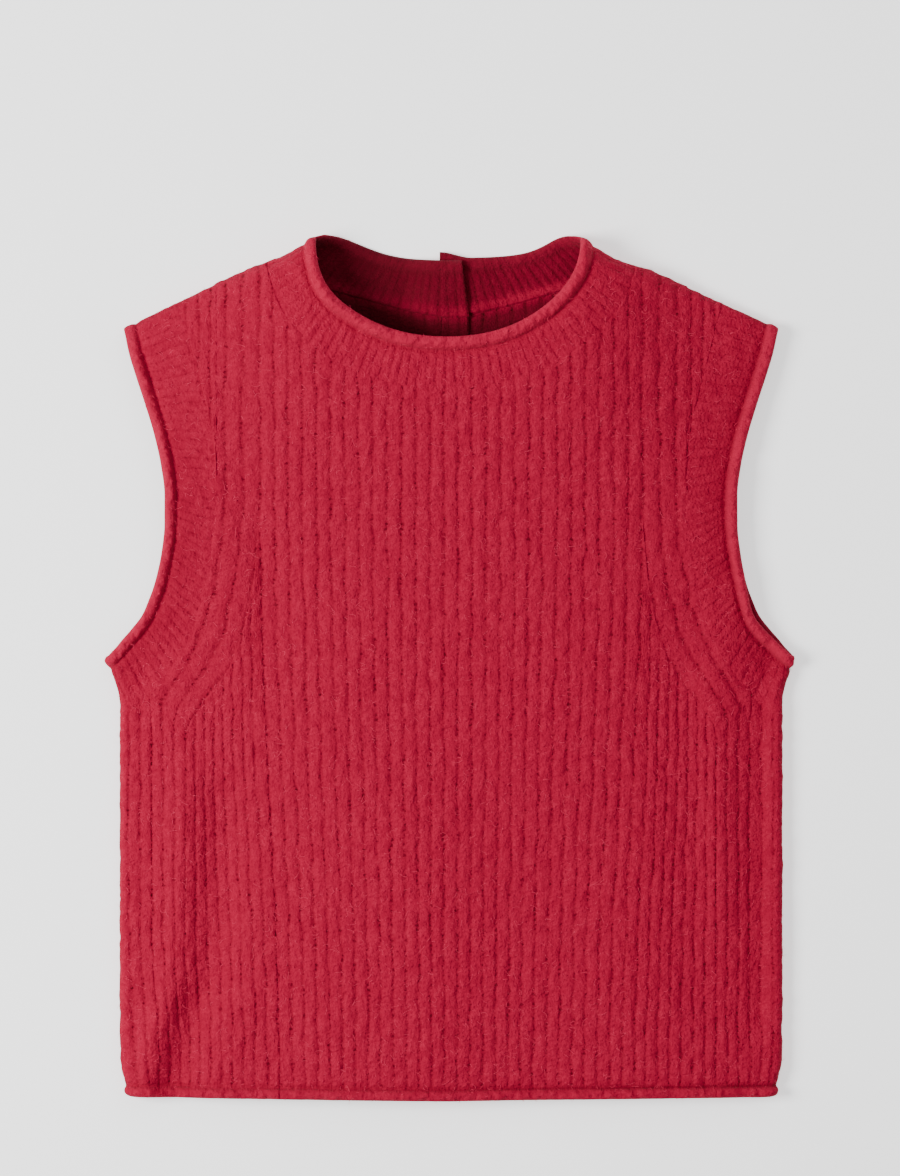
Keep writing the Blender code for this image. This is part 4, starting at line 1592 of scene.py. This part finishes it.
        inner_up = start_inner + (top_inner - start_inner) * up
        outer = np.concatenate([outer_side, outer_arm, outer_up])
        inner = np.concatenate([inner_side, inner_arm, inner_up])
        u, tuck = self.shares(self.strip_wales, self.strip_half[1] - self.strip_half[0])
        x = outer[:, :1] + (inner[:, :1] - outer[:, :1]) * u
        y = outer[:, 1:] + (inner[:, 1:] - outer[:, 1:]) * u
        upper = smooth((y - self.strip_bend) / self.strip_ease)
        strips = (self.strip_wales - self.lost_wale * upper) * (1.0 - u)
        wale = self.counted(side, self.wedge_wales + strips)
        free = 1.0 - upper + smooth((y - self.narrow) / self.free_reach)
        seam = np.maximum(u, 0.0) * np.hypot(*(outer - inner).T)[:, None] + rows[0, 0] * free
        return self.dress(side * x, np.maximum(y, 0.0), wale, seam, tuck)

    def beside(self, side: float) -> list[Patch]:
        """Every patch between the middle and one side."""
        return [self.wedge(side), self.strip(side), self.side_strip(side), self.yoke(side)]

    @staticmethod
    def along(line: Array, shares: Array) -> Array:
        """Points at shares of a line's length.

        Args:
            line: the line's points.
            shares: shares of its length.

        Returns:
            The points at those shares.
        """
        far = np.concatenate([[0.0], np.cumsum(np.hypot(*np.diff(line, axis=0).T))])
        at = shares * far[-1]
        return np.stack([np.interp(at, far, line[:, 0]), np.interp(at, far, line[:, 1])], -1)


@dataclass(frozen=True)
class Run:
    """Sections of a band along one layer."""

    # plan points of the rolled edge and of the seam
    edge: Array
    seam: Array
    face: Face
    lap: Lap
    # share of the roll's height
    keep: Array

    def turned(self) -> "Run":
        """The same sections from the other end."""
        return replace(self, edge=self.edge[::-1], seam=self.seam[::-1], keep=self.keep[::-1])

    def at(self, share: Array) -> "Run":
        """Read sections at shares of the run.

        Args:
            share: the shares, from 0 to 1.

        Returns:
            The sections there.
        """
        own = np.linspace(0.0, 1.0, len(self.edge))
        edge, seam = (
            np.stack([np.interp(share, own, line[:, i]) for i in range(2)], -1)
            for line in (self.edge, self.seam)
        )
        return replace(self, edge=edge, seam=seam, keep=np.interp(share, own, self.keep))


@dataclass
class Band:
    """A ribbed band with a rolled edge: ribs run across it."""

    form: Form
    rib: Rib = BAND_RIB
    edge: RolledEdge = RolledEdge(breadth=1.12)
    # distance of the ribs, points across a rib and rows over the flat cloth
    pitch: float = 6.2 * MM
    samples: int = 8
    across: int = 14
    # reach past the seam, how many times more of it the back has, and the tuck at its end
    over: float = 1.0 * MM
    back_over: float = 2.0
    tuck: float = 0.4 * MM
    tuck_power: int = 3
    # shares of the width and of the reach at which rows are added round the seam
    before_seam: float = 0.985
    past_seam: Sizes = (0.35, 0.7, 1.0)
    # the seam's dip fades out where the cloth turns over a fold
    dip_fade: Sizes = (0.2, 0.4)
    # relief at which a rib is level with the wall, and the share of it that the inside shows
    rib_middle: float = 0.6
    inside_rib: float = 0.8
    # the seam's ridge inside the back
    ridge: float = 1.3 * MM
    ridge_breadth: float = 2.6 * MM

    def section_stops(self, width: Array, over: float) -> Array:
        """Distances of the rows from the rolled edge.

        Args:
            width: width of the band at each section.
            over: how far the band reaches past its seam.

        Returns:
            One column of distances for each section.
        """
        start = self.edge.stops()
        rest = np.linspace(0.0, 1.0, self.across + 1)[1:]
        rest = np.sort(np.append(rest, self.before_seam))
        inner = start[-1] + (width - start[-1]) * rest[:, None]
        past = width[None, :] + over * np.array(self.past_seam)[:, None]
        return np.concatenate([np.repeat(start[:, None], width.size, 1), inner, past])

    def weave(self, runs: list[Run], ring: bool) -> Patch:
        """Make the band from runs of sections.

        Args:
            runs: the runs, each of which starts where the last one ends.
            ring: whether the band closes on itself.

        Returns:
            The finished patch.
        """
        middles, places = [], []
        for k, run in enumerate(runs):
            half = (run.edge + run.seam) / 2.0
            middles.append(self.form.lay(half[:, 0], half[:, 1], run.face, run.lap)[0])
            places.append(k + np.linspace(0.0, 1.0, len(half)))
        middle, place = np.concatenate(middles), np.concatenate(places)
        far = np.concatenate([[0.0], np.cumsum(np.linalg.norm(np.diff(middle, axis=0), axis=1))])
        ribs = round(far[-1] / self.pitch)
        count = ribs * self.samples
        shares = np.linspace(0.0, 1.0, count + 1)[: count if ring else count + 1]
        at = np.interp(shares * far[-1], far, place)
        parts = []
        for k, run in enumerate(runs):
            here = at[(at >= k) & ((at < k + 1) | (k == len(runs) - 1))] - k
            wale = np.interp(here + k, at, shares) * ribs
            parts.append(self.part(run.at(here), wale))
        joined = {name: np.concatenate([part[name] for part in parts], 1) for name in parts[0]}
        return Patch(**joined, ring=ring, inner_step=(2, 2))

    def part(self, run: Run, wale: Array) -> dict[str, Array]:
        """Grids of one run of sections.

        Args:
            run: the sections.
            wale: count of ribs at each of them.

        Returns:
            The grids that a patch needs, by name.
        """
        form, back = self.form, run.face is Face.BACK
        span = run.seam - run.edge
        width = np.hypot(span[:, 0], span[:, 1])
        over = self.over * (self.back_over if back else 1.0)
        s = self.section_stops(width, over)
        share = s / width
        x = run.edge[:, 0] + span[:, 0] * share
        y = run.edge[:, 1] + span[:, 1] * share
        fold = form.side_half(y) - form.wall / 2.0
        x = np.where(y < form.underarm[1], np.clip(x, -fold, fold), x)
        middle, normal = form.lay(x, y, run.face, run.lap)
        roll = form.back_roll_share + (1.0 - form.back_roll_share) * smooth(
            (normal[..., 2] + 1.0) / 2.0
        )
        bead = self.edge.bead(s)
        uneven = 1.0 + self.edge.unevenness(x + 0.0 * s, y)
        rise = (self.edge.outer(s) * uneven - form.wall) * roll * run.keep
        rise = rise * form.side_keep(normal)
        relief, swayed = self.rib.relief(wale + 0.0 * s, x, y + run.face.value)
        fade = (1.0 - bead) * self.edge.past(s)
        ribs = self.rib.depth * (relief - self.rib_middle) * fade
        ribs, seam = SEAM.sewn(ribs, width - s)
        seam = seam * smooth((np.abs(normal[..., 2]) - self.dip_fade[0]) / self.dip_fade[1])
        tuck = self.tuck * np.clip((s - width) / over, 0.0, 1.0) ** self.tuck_power
        inside = form.wall / 2.0 - self.edge.inner(s) + self.inside_rib * ribs
        if back:
            inside = inside + self.ridge * bump_at(s, width, self.ridge_breadth)
            inside = inside - self.ridge * smooth((s - width) / over)
        outer, inner = walls(
            middle, normal, rise, form.wall / 2.0 + rise + ribs + seam - tuck, inside
        )
        return {
            "outer": outer,
            "inner": inner,
            "wale": swayed,
            "course": s,
            "bead": bead,
            "normal": normal,
            # painted shade on the inside of the cloth
            "shade": PAINTED_INSIDE_SHADE.at(x, s - width if back else form.wall),
        }


@dataclass
class ArmholeBand(Band):
    """Ring round an armhole: up the front, over the shoulder and down the back."""

    side: float = -1.0
    fine: int = 500
    # how much closer the sections are at the underarm
    crowded: float = 1.15
    # where the roll begins to flatten towards the shoulder's tip, and over how much
    tip: Sizes = (0.9, 0.1)

    def patch(self) -> Patch:
        """Make the ring.

        Returns:
            The finished patch.
        """
        up = np.linspace(0.0, 1.0, self.fine) ** self.crowded
        runs = []
        for face, share in ((Face.FRONT, up), (Face.BACK, up[::-1])):
            edge = self.form.armhole_edge(share, self.side, face)
            seam = self.form.armhole_seam(share, self.side)
            near = smooth((share - self.tip[0]) / self.tip[1])
            keep = 1.0 - (1.0 - self.form.tip_flat) * near
            runs.append(Run(edge, seam, face, Lap.NONE, keep))
        return self.weave(runs, ring=True)


@dataclass
class Neckband(Band):
    """Band from the left back end round the front to the right back end."""

    edge: RolledEdge = RolledEdge(breadth=1.22)
    pitch: float = 5.9 * MM
    fine: int = 500

    def back_run(self, side: float) -> Run:
        """Back half from the shoulder to its end at the opening.

        Args:
            side: -1 on the left and 1 on the right.

        Returns:
            Its sections.
        """
        form = self.form
        share = np.linspace(0.0, 1.0, self.fine)
        end = form.band_right if side < 0.0 else form.band_left
        edge_end = end - form.neck_end_slant if side < 0.0 else end
        start_edge = form.shoulder_point(0.0, side)[0]
        start_seam = form.shoulder_point(form.neckband_share, side)[0]
        edge = form.back_line(start_edge + (edge_end - start_edge) * share, False, side)
        seam = form.back_line(start_seam + (end - start_seam) * share, True, side)
        keep = np.ones(self.fine)
        if side > 0.0:
            near = 1.0 - smooth((edge[:, 0] - form.band_left) / form.neck_end_reach)
            edge[:, 1] += form.neck_end_flip * near
            keep = 1.0 - (1.0 - form.neck_end_flat) * near
        return Run(edge, seam, Face.BACK, Lap.OVER if side < 0.0 else Lap.UNDER, keep)

    def patch(self) -> Patch:
        """Make the band.

        Returns:
            The finished patch.
        """
        form = self.form
        share = np.linspace(0.0, 1.0, self.fine)
        edge, seam = (form.neck_line(share, seam) for seam in (False, True))
        front = Run(edge, seam, Face.FRONT, Lap.NONE, np.ones(self.fine))
        return self.weave([self.back_run(-1.0).turned(), front, self.back_run(1.0)], ring=False)


@dataclass
class ButtonBand:
    """Plain ribbed strip down one edge of the back opening."""

    form: Form
    lap: Lap
    rib: Rib = BAND_RIB
    wales: int = 3
    samples: int = 8
    row_step: float = 3.0 * MM
    rib_middle: float = 0.75
    # how much thinner the strip's edges are
    round_off: float = 0.9 * MM
    round_power: int = 12

    def patch(self) -> Patch:
        """Make the strip.

        Returns:
            The finished patch.
        """
        form = self.form
        u = np.linspace(0.0, 1.0, self.wales * self.samples + 1)
        x = form.band_left + (form.band_right - form.band_left) * u
        side = -1.0 if self.lap is Lap.OVER else 1.0
        top = form.back_line(x, True, side)[:, 1]
        share = np.linspace(0.0, 1.0, int(top.max() / self.row_step))[:, None]
        y = top * share
        x = x + 0.0 * y
        middle, normal = form.lay(x, y, Face.BACK, self.lap)
        wale = u * self.wales + 0.0 * y
        relief, swayed = self.rib.relief(wale, x, y)
        ribs = self.rib.depth * (relief - self.rib_middle)
        thinner = self.round_off * np.abs(2.0 * u - 1.0) ** self.round_power
        half = (form.wall / 2.0 + ribs - thinner)[..., None]
        return Patch(
            outer=above_floor(middle + normal * half),
            inner=middle - normal * half,
            wale=swayed,
            course=y,
            bead=0.0 * y,
            normal=normal,
            # painted shade on the inside of the cloth
            shade=PAINTED_INSIDE_SHADE.at(x, top - y),
            inner_step=(1, 1),
        )


@dataclass(frozen=True)
class ButtonFinish:
    """Satin moulded button with a faint swirl."""

    name: str = "button_satin"
    dark: Sizes = (0.20, 0.006, 0.016, 1.0)
    light: Sizes = (0.36, 0.016, 0.034, 1.0)
    swirl: Grain = Grain(160.0, 3.0)
    speckle: Grain = Grain(1800.0)
    speckle_bump: float = 0.05 * MM
    # roughness, and what the speckle adds to it
    rough: Sizes = (0.25, 0.15)

    def material(self) -> bpy.types.Material:
        """Make the finish.

        Returns:
            The finish.
        """
        s = Shader(self.name)
        place = s.node("ShaderNodeTexCoord", output="Object")
        swirl = s.noise(place, self.swirl).step(0.35, 0.65)
        speckle = s.noise(place, self.speckle)
        bump = s.node(
            "ShaderNodeBump",
            inputs={"Strength": 0.2, "Distance": self.speckle_bump, "Height": speckle},
        )
        least, more = self.rough
        return s.finish(
            Base_Color=s.colour(swirl, self.dark, self.light),
            Roughness=speckle * more + least,
            Normal=bump,
        )


@dataclass(frozen=True)
class FloorFinish:
    """Matt pale studio floor."""

    name: str = "pale_floor"
    low: Sizes = (0.86, 0.86, 0.86, 1.0)
    high: Sizes = (0.90, 0.90, 0.90, 1.0)
    cloud: Grain = Grain(3.0, 3.0)
    glow: float = 0.9

    def material(self) -> bpy.types.Material:
        """Make the finish.

        Returns:
            The finish.
        """
        s = Shader(self.name)
        cloudy = s.noise(s.node("ShaderNodeTexCoord", output="Object"), self.cloud)
        return s.finish(
            Base_Color=s.colour(cloudy, self.low, self.high),
            Roughness=0.9,
            Emission_Color=WHITE,
            Emission_Strength=self.glow,
        )


@dataclass(frozen=True)
class Fibre:
    """Fine loose hairs of the same wool, painted paler as a stand-in for the light that comes
    through them.
    """

    name: str = "fibre"
    tone: Sizes = (0.64, 0.030, 0.085, 1.0)

    def material(self) -> bpy.types.Material:
        """Make the finish."""
        return Shader(self.name).finish(
            Base_Color=self.tone, Roughness=0.9, Specular_IOR_Level=0.05
        )


@dataclass
class Fuzz:
    """Loose hairs over the outside of brushed knit."""

    # hairs on a square metre, their least and greatest length and lift, and their turns
    density: float = 22000.0
    length: Sizes = (2.5 * MM, 7.5 * MM)
    width: float = 0.24 * MM
    lift: Sizes = (0.15 * MM, 0.9 * MM)
    curl: float = 2.6
    arch: float = 2.2
    # depth of the root, how much shorter hairs are on a roll, half-width at the root and taper
    rooted: float = 0.1 * MM
    shorter: float = 0.55
    half: float = 0.5
    taper: float = 0.35
    joints: int = 5
    seed: int = 3

    def grow(
        self, name: str, patches: list[Patch], material: bpy.types.Material
    ) -> bpy.types.Object:
        """Grow hairs over some patches.

        Args:
            name: the new piece's name.
            patches: the cloth that they stand on.
            material: their finish.

        Returns:
            The hairs, as one object.
        """
        rng = np.random.default_rng(self.seed)
        strips = [self.strips(patch, rng) for patch in patches]
        points = np.concatenate(strips)
        count = len(points) // (2 * self.joints)
        one = np.arange(self.joints - 1)[:, None] * 2 + np.array([0, 1, 3, 2])
        faces = (np.arange(count)[:, None, None] * 2 * self.joints + one).reshape(-1, 4)
        ob = shape(name, points.tolist(), faces.tolist(), [True] * len(faces), material)
        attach(ob, "root")
        log.info("%s: %d hairs", name, count)
        return ob

    def strips(self, patch: Patch, rng: np.random.Generator) -> Array:
        """Points of the hairs on one patch, two for each joint of each hair.

        Args:
            patch: the cloth that they stand on.
            rng: the seeded source of chance.

        Returns:
            The points, hair by hair.
        """
        grid = patch.outer
        along, across = np.diff(grid, axis=0)[:, :-1], np.diff(grid, axis=1)[:-1]
        area = np.linalg.norm(np.cross(across, along), axis=-1).ravel()
        count = int(area.sum() * self.density)
        cell = rng.choice(area.size, count, p=area / area.sum())
        a, b, n = (v.reshape(-1, 3)[cell] for v in (along, across, patch.normal[:-1, :-1]))
        root = grid[:-1, :-1].reshape(-1, 3)[cell]
        root = root + a * rng.random((count, 1)) + b * rng.random((count, 1))
        b = b - n * np.einsum("ij,ij->i", b, n)[:, None]
        b = b / np.maximum(np.linalg.norm(b, axis=1, keepdims=True), NO_LENGTH)
        a = np.cross(n, b)
        heading = rng.uniform(0.0, math.tau, count)
        curl = rng.normal(0.0, self.curl, count)
        reach = rng.uniform(*self.length, count) / (self.joints - 1)
        reach = reach * (1.0 - self.shorter * patch.bead[:-1, :-1].ravel()[cell])
        lift = rng.uniform(*self.lift, count) * rng.random(count)
        place, out = root - n * self.rooted, []
        for k in range(self.joints):
            share = k / (self.joints - 1)
            angle = heading + curl * share
            way = b * np.cos(angle)[:, None] + a * np.sin(angle)[:, None]
            broad = np.cross(n, way) * self.width * (self.half - self.taper * share)
            tall = n * (lift * math.sin(self.arch * share))[:, None]
            out += [place + tall - broad, place + tall + broad]
            place = place + way * reach[:, None]
        return above_floor(np.stack(out, 1).reshape(-1, 3))


@dataclass
class Vest:
    """The whole garment."""

    form: Form = field(default_factory=Form)
    fuzz: dict[str, bpy.types.Object] = field(default_factory=dict)
    fibre: bpy.types.Material = field(default_factory=lambda: Fibre().material())

    def piece(
        self, name: str, patches: list[Patch], material: bpy.types.Material
    ) -> bpy.types.Object:
        """Build a piece that stands for the CAD node of the same name.

        Args:
            name: the node's name.
            patches: the cloth it is made of.
            material: its finish.

        Returns:
            The piece.
        """
        mesh = ClothMesh()
        for patch in patches:
            mesh.add(patch)
        ob = mesh.build(f"{name}_knit", material)
        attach(ob, "root")
        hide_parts(name)
        self.fuzz[name] = Fuzz().grow(f"{name}_fuzz", patches, self.fibre)
        corners = sum(len(face) - 2 for face in mesh.faces + mesh.rims)
        log.info("%s: %d triangles", ob.name, corners)
        return ob

    def build(self) -> None:
        """Build and dress every piece."""
        form = self.form
        body = Yarn("body_rib_knit").material()
        band_look = Yarn("band_rib_knit", course=3.0 * MM, groove=0.55, pale_roll=0.2, crease=0.3)
        bands = band_look.material()
        # the armhole bands also get painted shade beside their rolls
        rings = replace(band_look, name="armhole_rib_knit", roll_shade=0.22).material()
        front = Panel(form, Face.FRONT)
        sides = [patch for side in (-1.0, 1.0) for patch in front.beside(side)]
        patches = [front.middle(None, None), *sides]
        pieces = {"front_panel": self.piece("front_panel", patches, body)}
        halves = ((-1.0, Lap.OVER, "back_panel_left"), (1.0, Lap.UNDER, "back_panel_right"))
        for side, lap, name in halves:
            half = Panel(form, Face.BACK, lap, samples=5, row_step=3.4 * MM, inner_step=(2, 2))
            ends = (None, form.band_left) if side < 0.0 else (form.band_right, None)
            middle = half.middle(*ends)
            pieces[name] = self.piece(name, [middle, *half.beside(side)], body)
        pieces["neckband"] = self.piece(
            "neckband", [Neckband(form).patch()], bands
        )
        for side, name in ((-1.0, "armhole_band_left"), (1.0, "armhole_band_right")):
            ring = ArmholeBand(form, side=side)
            pieces[name] = self.piece(name, [ring.patch()], rings)
        for lap, name in ((Lap.OVER, "button_band_left"), (Lap.UNDER, "button_band_right")):
            strip = ButtonBand(form, lap)
            pieces[name] = self.piece(name, [strip.patch()], bands)
        self.dress_buttons()

    def dress_buttons(self) -> None:
        """Give the moulded buttons their finish."""
        finish = ButtonFinish().material()
        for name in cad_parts:
            if name.startswith("button_") and name[-1].isdigit():
                bpy.data.objects[name].data.materials[0] = finish
                log.info("%s: satin finish", name)


@dataclass(frozen=True)
class Studio:
    """Pale floor, soft light and a camera straight above."""

    # the camera: greatest size shown on its plane, what it looks at and from how far
    shown: float = 0.79968
    aim: Sizes = (-0.0003, 0.0546, 0.008)
    distance: float = 3.2
    sensor: float = 36.0
    clip: Sizes = (0.1, 50.0)
    floor_size: float = 14.0
    surround: float = 0.43
    # name, place, size and power of each lamp: a key from the left and a fill
    lamps: tuple[tuple[str, Sizes, float, float], ...] = (
        ("key", (-1.42, 0.0, 1.52), 0.85, 69.0),
        ("fill", (0.9, 1.6, 2.1), 2.2, 22.0),
    )

    def floor(self) -> None:
        """Lay the floor."""
        half = self.floor_size / 2.0
        corners = [(-half, -half, 0.0), (half, -half, 0.0), (half, half, 0.0), (-half, half, 0.0)]
        shape("floor", corners, [(0, 1, 2, 3)], [False], FloorFinish().material())

    def light(self) -> None:
        """Light the set: soft square lamps that look at the garment, and a pale surround."""
        for name, place, size, power in self.lamps:
            data = bpy.data.lights.new(name, "AREA")
            data.shape = "SQUARE"
            data.size = size
            data.energy = power
            ob = put(name, data, place)
            ob.rotation_euler = (-Vector(place)).to_track_quat("-Z", "Y").to_euler()
        world = bpy.data.worlds.new("surround")
        world.use_nodes = True
        surround = world.node_tree.nodes["Background"]
        surround.inputs["Color"].default_value = WHITE
        surround.inputs["Strength"].default_value = self.surround
        bpy.context.scene.world = world

    def camera(self) -> None:
        """Hang the camera."""
        data = bpy.data.cameras.new("camera")
        data.sensor_width = self.sensor
        data.lens = self.sensor / 2.0 * self.distance / (self.shown / 2.0)
        data.clip_start, data.clip_end = self.clip
        x, y, z = self.aim
        bpy.context.scene.camera = put("camera", data, (x, y, z + self.distance))


def main() -> None:
    """Build the set and the garment."""
    logging.basicConfig(level=logging.INFO, format="%(message)s")
    studio = Studio()
    studio.camera()
    studio.light()
    studio.floor()
    Vest().build()


if __name__ == "__main__":
    main()
